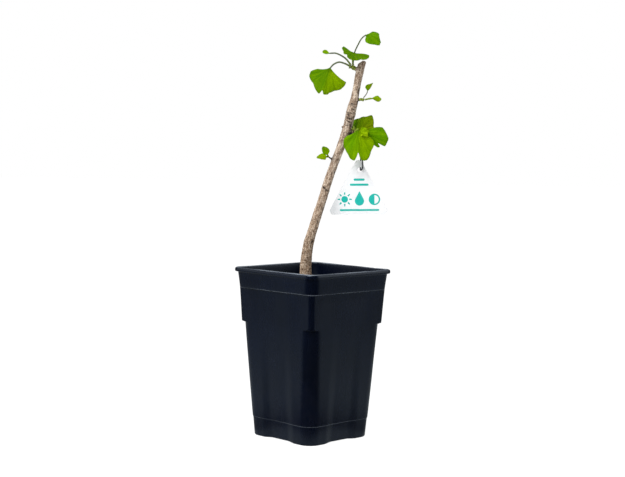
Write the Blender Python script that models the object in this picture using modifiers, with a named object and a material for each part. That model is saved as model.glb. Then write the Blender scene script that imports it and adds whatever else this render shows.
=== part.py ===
"""Young ginkgo bonsai: a leaning trunk with three leafy spurs, in a deep square nursery pot.

The origin is the centre of the pot's base on the ground, +Z is up, and the pot's sides face
+X, +Y, -X and -Y. The trunk leans towards the corner between +X and +Y.
"""
import math

import bmesh
import bpy
from mathutils import Matrix, Vector

MM = 0.001
GAP = 0.3                       # clearance between pieces that touch, mm

# Pot, all in mm
POT_HEIGHT = 153.5
LIP_HALF = 52.5                 # half the side of the outer lip
LIP_HEIGHT = 4.0
LIP_CORNER = 8.5
LIP_EDGE = 0.7                  # size of the lip's worn edges
BAND_TOP_HALF = 51.0            # the upper band, under the lip
BAND_FOOT_HALF = 49.6
BAND_FOOT = 135.4               # height of the ledge under the band
BAND_CORNER = 10.0
WALL_TOP_HALF = 48.0            # the tapering wall, from the ledge to the ground
CORNER_STEP = 104.4             # height where the corners are cut in
STEP_HALF = 46.3
TIGHT_CORNER = 4.5              # corner radius above the step
WIDE_CORNER = 12.0              # corner radius below the step
SKIRT_HEIGHT = 17.0
SKIRT_TOP_HALF = 40.1
SKIRT_STEP = 0.6                # how far the skirt stands back
BASE_HALF = 39.2
LEDGE_DROP = 0.6                # height taken by each ledge's slope
WALL = 1.2                      # wall thickness
PANEL_TOP = 112.0               # the panels in the four faces fade out here
PANEL_DEPTH = 1.7               # depth of the panels at the ground
PANEL_HALF_WIDTH = 13.5
PANEL_SLOPE = 2.6               # width of the panel's sloping sides
WALL_STATIONS = (38.0, 60.0, 82.0)      # heights of the rings along the lower wall
FOOT_LIFT = 0.8                 # the base arches this much between the corner feet
FOOT_WIDTH = 9.0
FLOOR_LIFT = 3.0                # the pot's floor stands this high between the feet
FLOOR_SLOPE = 1.5
DRAIN_RADIUS = 4.5
DRAIN_SPACING = 17.0
DRAIN_SEGMENTS = 20
DRAIN_TURN = 7                  # degrees, so that no corners of two holes line up
LEVEL_NORMAL = 0.99             # a face is level where its normal's z, squared, is above this
SCORE_SNAP = 0.001
CORNER_SEGMENTS = 6

# Potting mix
SOIL_TOP = 132.0

# Trunk: height, place along the lean, place across the lean (+ is away from the viewer), diameter
LEAN_HEADING = 45.0             # degrees from +X towards +Y
TRUNK = [
    (104, -6.4, 0.0, 5.0), (112, -6.4, 0.0, 10.0), (122, -6.4, 0.0, 12.6), (133, -6.5, 0.0, 12.3),
    (146, -6.4, 0.0, 11.2), (160, -6.0, -0.3, 10.1), (174, -4.4, -0.8, 9.5), (183, -2.1, -1.2, 8.9),
    (192, 0.6, -1.5, 8.6), (202, 3.5, -1.6, 8.4), (211, 6.4, -1.5, 8.0), (220, 9.0, -1.2, 7.8),
    (229, 11.6, -0.8, 7.8), (243, 16.1, 0.0, 7.6), (252, 19.3, 0.5, 7.7), (261, 22.6, 0.9, 7.6),
    (270, 25.7, 1.2, 7.8), (279, 28.7, 1.3, 8.2), (288, 30.8, 1.3, 8.5), (293, 32.0, 1.2, 8.9),
    (297, 32.7, 1.1, 8.8), (302, 34.0, 0.9, 8.3), (306, 35.0, 0.8, 7.6), (311, 36.0, 0.6, 7.1),
    (320, 37.4, 0.4, 6.8), (329, 38.9, 0.2, 7.2), (334, 40.1, 0.1, 7.0), (344, 42.6, 0.0, 6.8),
]
TRUNK_CUT = ((39.8, 0.0, 340.2), (-0.62, 0.0, 0.78))    # a point on the sloping cut, its normal
TRUNK_FOOT = -6.4               # where the trunk stands along the lean
ROOT_TOP = 122.0                # the roots leave the trunk at this height
ROOT_BEND = 113.0               # and turn down at this one
# Roots: heading from the lean in degrees, reach, height of the tip, radius
ROOTS = [(20, 27, 96, 3.2), (105, 24, 100, 2.8), (190, 28, 92, 3.4), (285, 25, 98, 3.0)]
ROOT_MIDDLE = 0.45              # share of the reach where a root turns down
ROOT_TAPER = (1.0, 0.75, 0.35)
SOCKET_TOP = 160.0              # the cutter for the trunk's place in the soil ends here

# Woody side pieces, each a run of points with the radius at each
SPURS = {
    "middle": [((29, 1.2, 277.5), 2.6), ((33.0, 0.3, 276.6), 2.3), ((35.2, -0.4, 276.2), 1.9)],
    "top": [((39.6, 0, 333.0), 2.4), ((37.0, -0.6, 333.8), 2.2), ((35.2, -0.9, 334.4), 1.8)],
    "right": [((34.5, 0.6, 306.4), 2.0), ((39.2, 0.0, 306.6), 1.5)],
    "left": [((18.2, 0.4, 251.4), 1.5), ((14.9, 0.0, 253.2), 0.9), ((12.9, -0.3, 254.6), 0.8)],
    "nub": [((28.6, 1.2, 281.0), 2.0), ((24.7, 0.6, 282.0), 1.0)],
}

# Green shoots that the leaves grow from
SHOOTS = {
    "top_shoot": [((34.7, -1.0, 334.7), 1.9), ((33.6, -1.2, 335.3), 2.1), ((32.6, -1.4, 336.2), 1.4)],
    "middle_shoot": [((35.7, -0.6, 276.2), 1.9), ((36.8, -0.8, 276.3), 2.0), ((38.0, -1.1, 276.7), 1.4)],
    "right_shoot": [((39.7, 0.0, 306.7), 1.2), ((41.4, 0.0, 306.9), 1.3), ((43.6, -0.1, 306.8), 0.9)],
    "left_shoot": [((12.5, -0.4, 254.9), 0.8), ((11.9, -0.5, 255.3), 0.9)],
}
SCALES = {
    "top_shoot": [((-0.95, -0.2, -0.15), 4.2), ((-0.3, -0.5, 0.9), 4.0), ((-0.5, 0.7, 0.5), 3.6)],
    "middle_shoot": [((0.5, -0.2, -0.85), 3.0), ((0.0, 0.1, 1.0), 2.9), ((0.2, -0.7, -0.6), 2.8)],
    "right_shoot": [((0.9, 0.4, 0.35), 3.2), ((0.85, -0.3, -0.5), 3.0)],
    "left_shoot": [],
}
SCALE_RADIUS = 0.7
SCALE_TIP = 0.2

LEAF_THICKNESS = 0.45
BLADE_ROWS = (0.05, 0.28, 0.52, 0.76, 1.0)      # share of the way from the petiole to the rim
PETIOLE_REACH = 0.12            # share of the blade that the petiole runs into
FOLD_SOFTNESS = 0.04            # share of the leaf's size over which a fold is rounded

# Leaves. base: where the petiole meets the blade; heading: along the midline; facing: the upper side.
# rim: degrees from the midline and millimetres from the base. pinch narrows the fan near its base.
# droop and roll: degrees of bend at the leaf's size, along and across. fold: degrees at the midline.
LEAVES = {
    "leaf_top_left": dict(
        base=(12.9, -1, 334.6), heading=(-0.27, -0.28, -0.92), facing=(0.05, -0.93, 0.35), size=26,
        pinch=0.22, droop=18, roll=25, fold=14, wave=(0.8, 5, 40),
        rim=[(75, 10), (74, 16), (71, 19.5), (59, 21.8), (33, 21.2), (18, 24), (6, 26), (3, 20.8),
             (-2, 25.0), (-11, 24.6), (-15, 22.8), (-29, 21.2), (-44, 22.2), (-60, 21.8), (-71, 20.6)],
        petiole=[(31.0, -1.9, 336.2), (26.1, -2.3, 338.6), (20.7, -2.2, 339.9), (15.8, -1.6, 337.8)],
        petiole_radius=(0.75, 0.6)),
    "leaf_top_right": dict(
        base=(44.6, 2, 364.9), heading=(0.74, -0.26, -0.62), facing=(0.28, -0.90, 0.30), size=15,
        pinch=0.1, droop=20, roll=38, fold=0, wave=(0.5, 6, 0),
        rim=[(-80, 9.5), (-72, 12.0), (-51, 11.8), (-35, 13.6), (-21, 15.4), (-12, 15.2), (-1, 14.0),
             (6, 11.7), (17, 10.6), (33, 8.6), (49, 7.0), (58, 4.5)],
        petiole=[(33.2, 1.4, 337.3), (33.9, 2.2, 344.0), (34.9, 2.6, 349.9), (38.0, 2.8, 356.9),
                 (40.9, 2.5, 361.9)],
        petiole_radius=(0.6, 0.5)),
    "leaf_top_front": dict(
        base=(33.3, -1, 348.7), heading=(0.05, -0.86, -0.50), facing=(0.33, -0.50, 0.80), size=15.5,
        pinch=0.12, droop=0, roll=-12, fold=0, wave=(0.3, 4, 0),
        rim=[(122, 6), (120, 10.5), (97, 11.1), (64, 10.9), (43, 14.2), (38, 10.2), (23, 17.0),
             (12, 17.2), (-12, 13.9), (-31, 11.8), (-41, 12.9), (-54, 14.5), (-76, 14.8), (-95, 15.0),
             (-98, 8)],
        petiole=[(33.4, -1.2, 337.8), (33.0, -0.2, 341.5), (32.9, 0.2, 345.5)],
        petiole_radius=(0.75, 0.6)),
    "leaf_top_furled": dict(
        base=(12.2, -4, 347.5), heading=(-0.98, -0.1, 0.12), facing=(0.1, -0.75, 0.65), size=6.8,
        pinch=0.0, droop=-8, roll=-95, fold=0, wave=(0, 0, 0),
        rim=[(44, 3.6), (28, 5.6), (10, 6.8), (-6, 6.8), (-20, 6.0), (-36, 4.4)],
        petiole=[(31.3, -3.9, 337.4), (26.9, -4.3, 342.7), (22.4, -4.4, 345.7), (17.8, -4.3, 347.6),
                 (14.6, -4.1, 347.7)],
        petiole_radius=(0.7, 0.55)),
    "leaf_right_fan": dict(
        base=(50.6, -1.6, 307.9), heading=(0.99, -0.1, 0.02), facing=(0, -0.85, 0.5), size=9.0,
        pinch=0.0, droop=10, roll=20, fold=0, wave=(0.2, 5, 0),
        rim=[(-38, 4.6), (-32, 6.2), (-12, 7.6), (2, 9.0), (14, 8.6), (28, 7.2), (34, 5.6)],
        petiole=[(44.9, -0.5, 306.8), (46.6, -0.9, 307.2), (48.6, -1.3, 307.6)],
        petiole_radius=(0.65, 0.6)),
    "leaf_right_curled": dict(
        base=(47.0, 1.4, 314.8), heading=(0.25, -0.1, 0.96), facing=(-0.5, -0.8, 0.2), size=6.4,
        pinch=0.0, droop=30, roll=-60, fold=0, wave=(0, 0, 0),
        rim=[(-62, 2.6), (-40, 4.2), (-12, 6.0), (10, 7.2), (28, 6.6), (44, 4.6), (60, 3.0)],
        petiole=[(43.4, 1.2, 308.6), (45.2, 1.5, 310.6), (46.6, 1.5, 312.6)],
        petiole_radius=(0.4, 0.35)),
    "leaf_middle_back": dict(
        base=(38.6, 4.2, 279.6), heading=(0.38, 0.22, 0.90), facing=(0.08, -0.95, 0.25), size=19,
        pinch=0.15, droop=10, roll=0, fold=(0, 45), wave=(0.5, 5, 0),
        rim=[(-92, 5.5), (-77, 7.4), (-60, 9.6), (-40, 14.0), (-18, 12.3), (8, 15.3),
             (17, 19.8), (33, 17.2), (46, 14.6), (65, 14.7), (72, 8.0)],
        petiole=[(37.8, 1.3, 277.9), (38.3, 2.6, 278.7)],
        petiole_radius=(0.6, 0.6)),
    "leaf_middle_right": dict(
        base=(43.5, -0.8, 277.4), heading=(0.96, 0.02, -0.24), facing=(-0.15, -0.93, 0.22), size=23,
        pinch=0.15, droop=14, roll=24, fold=8, wave=(0.6, 4, 0),
        rim=[(-42, 9), (-37, 15), (-32, 19.4), (-17, 21.8), (-3, 24.2), (8, 24.2), (16, 23.6),
             (20, 18.0), (28, 19.6), (34, 15.6), (40, 9)],
        petiole=[(39.2, -1.1, 277.3), (41.2, -1.2, 277.9)],
        petiole_radius=(0.6, 0.6)),
    "leaf_middle_front": dict(
        base=(39.2, -7.0, 279.5), heading=(0.03, -0.22, -0.96), facing=(0.05, -0.95, 0.25), size=29,
        pinch=0.22, droop=10, roll=16, fold=8, wave=(0.7, 5, 0),
        rim=[(64, 11), (60, 15.4), (46, 19.3), (37, 21.0), (24, 23.1), (16, 26.4), (8, 28.5), (5, 25.5),
             (1, 19.7), (-3, 26.7), (-10, 28.5), (-17, 27.2), (-31, 22.4), (-46, 20.0), (-56, 17.0),
             (-60, 11)],
        petiole=[(36.6, -3.4, 276.9), (37.4, -5.2, 278.8), (38.5, -6.4, 280.0)],
        petiole_radius=(0.75, 0.65)),
    "leaf_middle_young": dict(
        base=(42.4, -4.6, 278.6), heading=(0.85, -0.5, 0.1), facing=(-0.1, -0.5, 0.85), size=7,
        pinch=0.0, droop=0, roll=-65, fold=0, wave=(0, 0, 0),
        rim=[(-58, 3.8), (-40, 5.2), (-14, 6.6), (12, 7.0), (34, 6.2), (56, 4.4)],
        petiole=[(38.9, -2.2, 277.0), (40.6, -3.6, 278.2)],
        petiole_radius=(0.5, 0.45)),
    "leaf_left_upper": dict(
        base=(11.2, -1.1, 257.2), heading=(-0.48, -0.1, 0.87), facing=(-0.3, -0.9, 0.2), size=8,
        pinch=0.0, droop=-15, roll=-35, fold=0, wave=(0, 0, 0),
        rim=[(48, 2.4), (26, 4.2), (4, 6.0), (-16, 6.8), (-28, 6.0), (-42, 4.2), (-56, 2.6)],
        petiole=[(11.7, -0.8, 256.4)],
        petiole_radius=(0.55, 0.5)),
    "leaf_left_lower": dict(
        base=(10.2, -1.8, 254.8), heading=(-0.97, -0.1, 0.0), facing=(0.0, -0.8, 0.6), size=8,
        pinch=0.0, droop=10, roll=-35, fold=0, wave=(0, 0, 0),
        rim=[(48, 2.6), (27, 5.2), (6, 7.6), (-6, 7.8), (-24, 5.8), (-46, 3.2)],
        petiole=[(11.0, -1.1, 255.0)],
        petiole_radius=(0.55, 0.5)),
}

# Tag: a triangle with round corners, hung by a bent wire
TAG_APEX = (39.8, 0.9, 256.1)
TAG_WIDTH = 57.2
TAG_HEIGHT = 53.2
TAG_CORNER = 3.6
TAG_CORNER_STEPS = 6
TAG_THICKNESS = 0.5
TAG_TILT = 1.3                  # degrees, in its own plane
HOLE_RADIUS = 2.2
HOLE_DROP = 11.0                # from the sharp apex to the hole's centre
CURL_START = 9.0                # the left side curls forward from here
CURL_DEPTH = -7.0
CURL_STRIPS = 8
WIRE_RADIUS = 0.5
WIRE = [
    (34.4, -3.2, 273.6), (34.4, -3.4, 276.2), (34.4, -2.3, 278.5), (34.5, 0.0, 279.4),
    (34.7, 2.4, 278.6), (35.3, 3.4, 275.8), (37.0, 3.2, 271.0), (39.2, 1.6, 265.0),
    (41.2, 0.0, 259.0), (42.2, -1.0, 253.0), (42.2, -1.2, 248.2), (41.6, -0.6, 245.8),
    (41.0, 0.9, 244.7), (40.6, 2.6, 245.6), (40.6, 3.2, 250.0), (40.8, 3.0, 255.0),
    (41.6, 2.2, 259.6),
]


def clear_scene():
    """Remove what the file starts with."""
    for item in list(bpy.data.objects):
        bpy.data.objects.remove(item, do_unlink=True)


def new_collection(name):
    collection = bpy.data.collections.new(name)
    bpy.context.scene.collection.children.link(collection)
    return collection


def new_material(name, colour, roughness, metallic=0.0):
    material = bpy.data.materials.new(name)
    material.use_nodes = True
    shader = material.node_tree.nodes["Principled BSDF"]
    shader.inputs["Base Color"].default_value = (*colour, 1.0)
    shader.inputs["Roughness"].default_value = roughness
    shader.inputs["Metallic"].default_value = metallic
    return material


def plant_point(along, across, height):
    """A point of the tree, in metres: along the lean, across it, and above the ground, in mm."""
    heading = math.radians(LEAN_HEADING)
    forward = Vector((math.cos(heading), math.sin(heading), 0))
    sideways = Vector((-math.sin(heading), math.cos(heading), 0))
    return (forward * along + sideways * across + Vector((0, 0, height))) * MM


def plant_direction(vector):
    return plant_point(*vector).normalized()


def object_from_bmesh(name, bm, collection, material=None):
    mesh = bpy.data.meshes.new(name)
    bmesh.ops.recalc_face_normals(bm, faces=bm.faces)
    bm.to_mesh(mesh)
    bm.free()
    item = bpy.data.objects.new(name, mesh)
    collection.objects.link(item)
    if material:
        mesh.materials.append(material)
    return item


def shade_round(item, angle=40):
    item.data.shade_smooth()
    item.data.set_sharp_from_angle(angle=math.radians(angle))


def evaluated_copy(item, name, collection):
    """A plain mesh object of what the item looks like with its modifiers applied."""
    depsgraph = bpy.context.evaluated_depsgraph_get()
    mesh = bpy.data.meshes.new_from_object(item.evaluated_get(depsgraph))
    copy = bpy.data.objects.new(name, mesh)
    copy.matrix_world = item.matrix_world
    collection.objects.link(copy)
    return copy


def weld(item):
    bm = bmesh.new()
    bm.from_mesh(item.data)
    bmesh.ops.remove_doubles(bm, verts=bm.verts, dist=0.01 * MM)
    bmesh.ops.recalc_face_normals(bm, faces=bm.faces)
    bm.to_mesh(item.data)
    bm.free()


def smooth_path(points, steps):
    """Points along a Catmull-Rom curve through the given ones, a few to each stretch."""
    path = []
    for index in range(len(points) - 1):
        before = points[max(index - 1, 0)]
        start, end = points[index], points[index + 1]
        after = points[min(index + 2, len(points) - 1)]
        for step in range(steps):
            t = step / steps
            path.append(0.5 * (2 * start + (end - before) * t
                               + (2 * before - 5 * start + 4 * end - after) * t ** 2
                               + (3 * start - before - 3 * end + after) * t ** 3))
    path.append(points[-1])
    return path


def rod(name, points, radii, collection, steps=1, resolution=2):
    """A round solid along the points, whose radius in mm changes from point to point."""
    stations = [Vector((*point, radius)) for point, radius in zip(points, radii)]
    stations = smooth_path(stations, steps)
    curve = bpy.data.curves.new(name, "CURVE")
    curve.dimensions = "3D"
    curve.bevel_depth = MM
    curve.bevel_resolution = resolution
    curve.use_fill_caps = True
    spline = curve.splines.new("POLY")
    spline.points.add(len(stations) - 1)
    for node, station in zip(spline.points, stations):
        node.co = (*station[:3], 1.0)
        node.radius = station[3]
    guide = bpy.data.objects.new(name + "_guide", curve)
    collection.objects.link(guide)
    solid = evaluated_copy(guide, name, collection)
    bpy.data.objects.remove(guide, do_unlink=True)
    weld(solid)
    return solid


def fuse(name, pieces, collection, material):
    """Join solids that overlap into one closed body."""
    body = pieces[0]
    for other in pieces[1:]:
        union = body.modifiers.new("join", "BOOLEAN")
        union.operation = "UNION"
        union.object = other
    result = evaluated_copy(body, name, collection)
    for piece in pieces:
        bpy.data.objects.remove(piece, do_unlink=True)
    weld(result)
    result.data.materials.clear()
    result.data.materials.append(material)
    shade_round(result)
    return result


def cut(item, cutter):
    """Take the cutter's shape out of the item, and keep the cutter as a wire guide."""
    cutter.hide_render = True
    cutter.display_type = "WIRE"
    difference = item.modifiers.new("cut_" + cutter.name, "BOOLEAN")
    difference.operation = "DIFFERENCE"
    difference.object = cutter


def square_ring(half, corner, height, panel=0.0, lift=0.0):
    """Points round a square with round corners, whose sides sink in by the panel's depth."""
    inner = PANEL_HALF_WIDTH
    outer = inner + PANEL_SLOPE
    side = [(-outer, 0), (-inner, 1), (0, 1), (inner, 1), (outer, 0)]
    ring = []
    for quarter in range(4):
        turn = Matrix.Rotation(quarter * math.pi / 2, 3, "Z")
        for across, share in side:
            ring.append(turn @ Vector((half - panel * share, across, height + lift * share)))
        for segment in range(CORNER_SEGMENTS + 1):
            angle = segment / CORNER_SEGMENTS * math.pi / 2
            x = half - corner + corner * math.cos(angle)
            y = half - corner + corner * math.sin(angle)
            ring.append(turn @ Vector((x, y, height)))
    return [point * MM for point in ring]


def loft(name, rings, collection, material):
    """A solid through the rings, closed with a flat face at each end."""
    bm = bmesh.new()
    rows = [[bm.verts.new(point) for point in ring] for ring in rings]
    for lower, upper in zip(rows, rows[1:]):
        for index in range(len(lower)):
            following = (index + 1) % len(lower)
            bm.faces.new((lower[index], lower[following], upper[following], upper[index]))
    bm.faces.new(rows[0])
    bm.faces.new(rows[-1])
    return object_from_bmesh(name, bm, collection, material)


def panel_depth(height):
    return PANEL_DEPTH * max(0.0, 1 - height / PANEL_TOP)


def wall_half(height):
    """Half the outer side of the tapering wall, between the skirt and the ledge of the band."""
    if height > CORNER_STEP:
        share = (height - CORNER_STEP) / (BAND_FOOT - CORNER_STEP)
        return STEP_HALF + share * (WALL_TOP_HALF - STEP_HALF)
    share = (height - SKIRT_HEIGHT) / (CORNER_STEP - SKIRT_HEIGHT)
    skirt = SKIRT_TOP_HALF + SKIRT_STEP
    return skirt + share * (STEP_HALF - skirt)


def floor_rings(half, inset, low, high):
    """The two rings where a floor rises from the feet to the raised middle."""
    foot = half - FOOT_WIDTH - inset
    middle = foot - FLOOR_SLOPE
    corner = max(WIDE_CORNER - FOOT_WIDTH - inset, 1.0)
    return [square_ring(middle, corner, high), square_ring(foot, corner, low)]


def outer_rings():
    """The pot's outside from the base up to the lip's inner edge."""
    step = CORNER_STEP - LEDGE_DROP
    ledge = BAND_FOOT - LEDGE_DROP
    skirt_out = SKIRT_HEIGHT + LEDGE_DROP / 2
    lip_foot = POT_HEIGHT - LIP_HEIGHT
    return [
        square_ring(BASE_HALF, WIDE_CORNER, 0, panel_depth(0), FOOT_LIFT),
        square_ring(SKIRT_TOP_HALF, WIDE_CORNER, SKIRT_HEIGHT, panel_depth(SKIRT_HEIGHT)),
        square_ring(wall_half(skirt_out), WIDE_CORNER, skirt_out, panel_depth(skirt_out)),
        *[square_ring(wall_half(height), WIDE_CORNER, height, panel_depth(height))
          for height in WALL_STATIONS],
        square_ring(wall_half(step), WIDE_CORNER, step, panel_depth(step)),
        square_ring(wall_half(CORNER_STEP), TIGHT_CORNER, CORNER_STEP, panel_depth(CORNER_STEP)),
        square_ring(wall_half(PANEL_TOP), TIGHT_CORNER, PANEL_TOP),
        square_ring(WALL_TOP_HALF, TIGHT_CORNER, ledge),
        square_ring(BAND_FOOT_HALF, BAND_CORNER, BAND_FOOT),
        square_ring(BAND_TOP_HALF, BAND_CORNER, lip_foot),
        square_ring(LIP_HALF - LIP_EDGE / 3, LIP_CORNER, lip_foot + LIP_EDGE / 6),
        square_ring(LIP_HALF, LIP_CORNER, lip_foot + LIP_EDGE),
        square_ring(LIP_HALF, LIP_CORNER, POT_HEIGHT - LIP_EDGE),
        square_ring(LIP_HALF - LIP_EDGE, LIP_CORNER, POT_HEIGHT),
        square_ring(BAND_TOP_HALF - LIP_EDGE, BAND_CORNER, POT_HEIGHT),
    ]


def inner_rings(inset, floor_gap):
    """The inside from the floor's edge up to under the lip, set in by the inset."""
    shell = WALL + inset
    wide, tight = WIDE_CORNER - shell, TIGHT_CORNER - shell
    step, ledge = CORNER_STEP + WALL, BAND_FOOT + WALL
    under_step = step - LEDGE_DROP
    floor = WALL + floor_gap
    return [
        square_ring(BASE_HALF - shell, wide, floor, panel_depth(floor)),
        square_ring(wall_half(SKIRT_HEIGHT) - shell, wide, SKIRT_HEIGHT, panel_depth(SKIRT_HEIGHT)),
        *[square_ring(wall_half(height) - shell, wide, height, panel_depth(height))
          for height in WALL_STATIONS],
        square_ring(wall_half(under_step) - shell, wide, under_step, panel_depth(under_step)),
        square_ring(wall_half(step) - shell, tight, step, panel_depth(step)),
        square_ring(wall_half(PANEL_TOP) - shell, tight, PANEL_TOP),
        square_ring(wall_half(SOIL_TOP) - shell, tight, SOIL_TOP),
        square_ring(WALL_TOP_HALF - shell, tight, ledge - LEDGE_DROP),
        square_ring(BAND_FOOT_HALF - shell, BAND_CORNER - shell, ledge),
    ]


def score_floor(pot):
    """Divide both faces of the floor into cells with at most one drain hole each."""
    bm = bmesh.new()
    bm.from_mesh(pot.data)
    for way in (Vector((1, 0, 0)), Vector((0, 1, 0))):
        for place in (-DRAIN_SPACING / 2, DRAIN_SPACING / 2):
            geometry = set()
            for face in bm.faces:
                height = face.calc_center_median().z / MM
                of_floor = FLOOR_LIFT - WALL < height < FLOOR_LIFT + 2 * WALL
                if of_floor and face.normal.z ** 2 > LEVEL_NORMAL:
                    geometry.update((face, *face.edges, *face.verts))
            bmesh.ops.bisect_plane(bm, geom=list(geometry), dist=SCORE_SNAP * MM,
                                   plane_co=way * place * MM, plane_no=way)
    bm.to_mesh(pot.data)
    bm.free()


def make_pot(collection, cutters, material):
    """One thin-walled shell, open at the top, on four corner feet, with drain holes."""
    underside = floor_rings(BASE_HALF, 0, 0, FLOOR_LIFT)
    floor = floor_rings(BASE_HALF - WALL, 0, WALL, FLOOR_LIFT + WALL)
    inside = inner_rings(0, 0)
    inside.append(square_ring(BAND_TOP_HALF - WALL, BAND_CORNER - WALL, POT_HEIGHT - LIP_HEIGHT))
    inside.append(square_ring(BAND_TOP_HALF - WALL, BAND_CORNER - WALL, POT_HEIGHT - LIP_EDGE))
    rings = underside + outer_rings() + inside[::-1] + floor[::-1]
    pot = loft("pot", rings, collection, material)
    score_floor(pot)

    bm = bmesh.new()
    for x, y in ((0, 0), (1, 1), (-1, 1), (-1, -1), (1, -1)):
        centre = Vector((x * DRAIN_SPACING, y * DRAIN_SPACING, FLOOR_LIFT))
        place = Matrix.Translation(centre * MM) @ Matrix.Rotation(math.radians(DRAIN_TURN), 4, "Z")
        bmesh.ops.create_cone(bm, cap_ends=True, segments=DRAIN_SEGMENTS, radius1=DRAIN_RADIUS * MM,
                              radius2=DRAIN_RADIUS * MM, depth=4 * FLOOR_LIFT * MM, matrix=place)
    cut(pot, object_from_bmesh("drain_holes", bm, cutters))
    tidy = pot.modifiers.new("even_triangles", "TRIANGULATE")
    tidy.quad_method = "SHORTEST_DIAGONAL"
    tidy.ngon_method = "BEAUTY"
    return pot


def root_system(name, collection, extra=0.0):
    """The main roots at the trunk's buried foot, grown all round by the extra."""
    pieces = []
    for heading, reach, tip_height, radius in ROOTS:
        turn = math.radians(heading)
        way = Vector((reach * math.cos(turn), reach * math.sin(turn), 0))
        foot = Vector((TRUNK_FOOT, 0, 0))
        start = foot + Vector((0, 0, ROOT_TOP))
        middle = foot + way * ROOT_MIDDLE + Vector((0, 0, ROOT_BEND))
        end = foot + way + Vector((0, 0, tip_height))
        end += (end - middle).normalized() * extra
        points = [plant_point(*place) for place in (start, middle, end)]
        radii = [radius * share + extra for share in ROOT_TAPER]
        pieces.append(rod(f"{name}_root_{heading}", points, radii, collection, 3))
    return pieces


def trunk_rod(name, collection, extra=0.0, top=None):
    stations = [row for row in TRUNK if top is None or row[0] <= top]
    points = [plant_point(along, across, height) for height, along, across, _ in stations]
    points[0] = points[0] - Vector((0, 0, extra * MM))
    radii = [diameter / 2 + extra for _, _, _, diameter in stations]
    return rod(name, points, radii, collection, 1, 4)


def slice_top(item, place, normal):
    """Cut the end of a solid off with a sloping plane and close it again."""
    bm = bmesh.new()
    bm.from_mesh(item.data)
    geometry = bm.verts[:] + bm.edges[:] + bm.faces[:]
    cut_edges = bmesh.ops.bisect_plane(bm, geom=geometry, dist=0.001 * MM, plane_co=place,
                                       plane_no=normal, clear_outer=True)["geom_cut"]
    edges = [edge for edge in cut_edges if isinstance(edge, bmesh.types.BMEdge)]
    bmesh.ops.contextual_create(bm, geom=edges)
    bm.to_mesh(item.data)
    bm.free()


def make_trunk(collection, material):
    """All the wood grown as one: roots, trunk with its sloping cut top, and the woody spurs."""
    trunk = trunk_rod("trunk_stem", collection)
    slice_top(trunk, plant_point(*TRUNK_CUT[0]), plant_direction(TRUNK_CUT[1]))
    pieces = [trunk] + root_system("trunk", collection)
    for name, stations in SPURS.items():
        points = [plant_point(*place) for place, _ in stations]
        pieces.append(rod("spur_" + name, points, [radius for _, radius in stations], collection, 2))
    return fuse("trunk", pieces, collection, material)


def make_soil(collection, cutters, material):
    """The potting mix fills the pot to below its rim, and the trunk's foot stands in it."""
    floor = floor_rings(BASE_HALF - WALL, GAP, WALL + GAP, FLOOR_LIFT + WALL + GAP)
    walls = inner_rings(GAP, GAP)[:-2]
    soil = loft("soil", floor + walls, collection, material)
    socket = [trunk_rod("socket_stem", cutters, GAP, SOCKET_TOP)] + root_system("socket", cutters, GAP)
    cut(soil, fuse("root_socket", socket, cutters, material))
    return soil


def make_shoot(name, collection, material):
    """A short green shoot with the pointed scales of its opened bud."""
    stations = SHOOTS[name]
    points = [plant_point(*place) for place, _ in stations]
    pieces = [rod(name + "_stem", points, [radius for _, radius in stations], collection, 2)]
    root = points[len(points) // 2]
    for index, (heading, length) in enumerate(SCALES[name]):
        way = plant_direction(heading)
        scale = [root, root + way * length / 2 * MM, root + way * length * MM]
        radii = [SCALE_RADIUS, SCALE_RADIUS, SCALE_TIP]
        pieces.append(rod(f"{name}_scale_{index}", scale, radii, collection, 1))
    return fuse(name, pieces, collection, material)


def leaf_frame(leaf):
    heading = plant_direction(leaf["heading"])
    facing = plant_direction(leaf["facing"])
    facing = (facing - heading * facing.dot(heading)).normalized()
    return heading, facing, heading.cross(facing)


def blade_point(leaf, angle, reach, share):
    """A point of the blade: the angle of its vein at the rim, the rim's distance and the share of it."""
    heading, facing, side = leaf_frame(leaf)
    size = leaf["size"]
    radius = reach * share
    bearing = math.radians(angle * (1 - leaf["pinch"] * (1 - share)))
    x, y = radius * math.sin(bearing), radius * math.cos(bearing)

    folds = leaf["fold"] if isinstance(leaf["fold"], tuple) else (leaf["fold"], leaf["fold"])
    fold = math.radians(folds[0] if x > 0 else folds[1])
    soft = FOLD_SOFTNESS * size
    away = math.sqrt(x * x + soft * soft) - soft
    height = -away * math.sin(fold)
    x = math.copysign(abs(x) - away * (1 - math.cos(fold)), x)
    if leaf["roll"]:
        bend = size / math.radians(leaf["roll"])
        turned = x / bend
        x = (bend + height) * math.sin(turned)
        height = height * math.cos(turned) - bend * (1 - math.cos(turned))
    depth, count, phase = leaf["wave"]
    height += depth * (radius / size) ** 2 * math.sin(math.radians(count * angle + phase))
    if leaf["droop"]:
        bend = size / math.radians(leaf["droop"])
        turned = y / bend
        y = (bend + height) * math.sin(turned)
        height = height * math.cos(turned) - bend * (1 - math.cos(turned))
    return plant_point(*leaf["base"]) + (heading * y + facing * height + side * x) * MM


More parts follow.
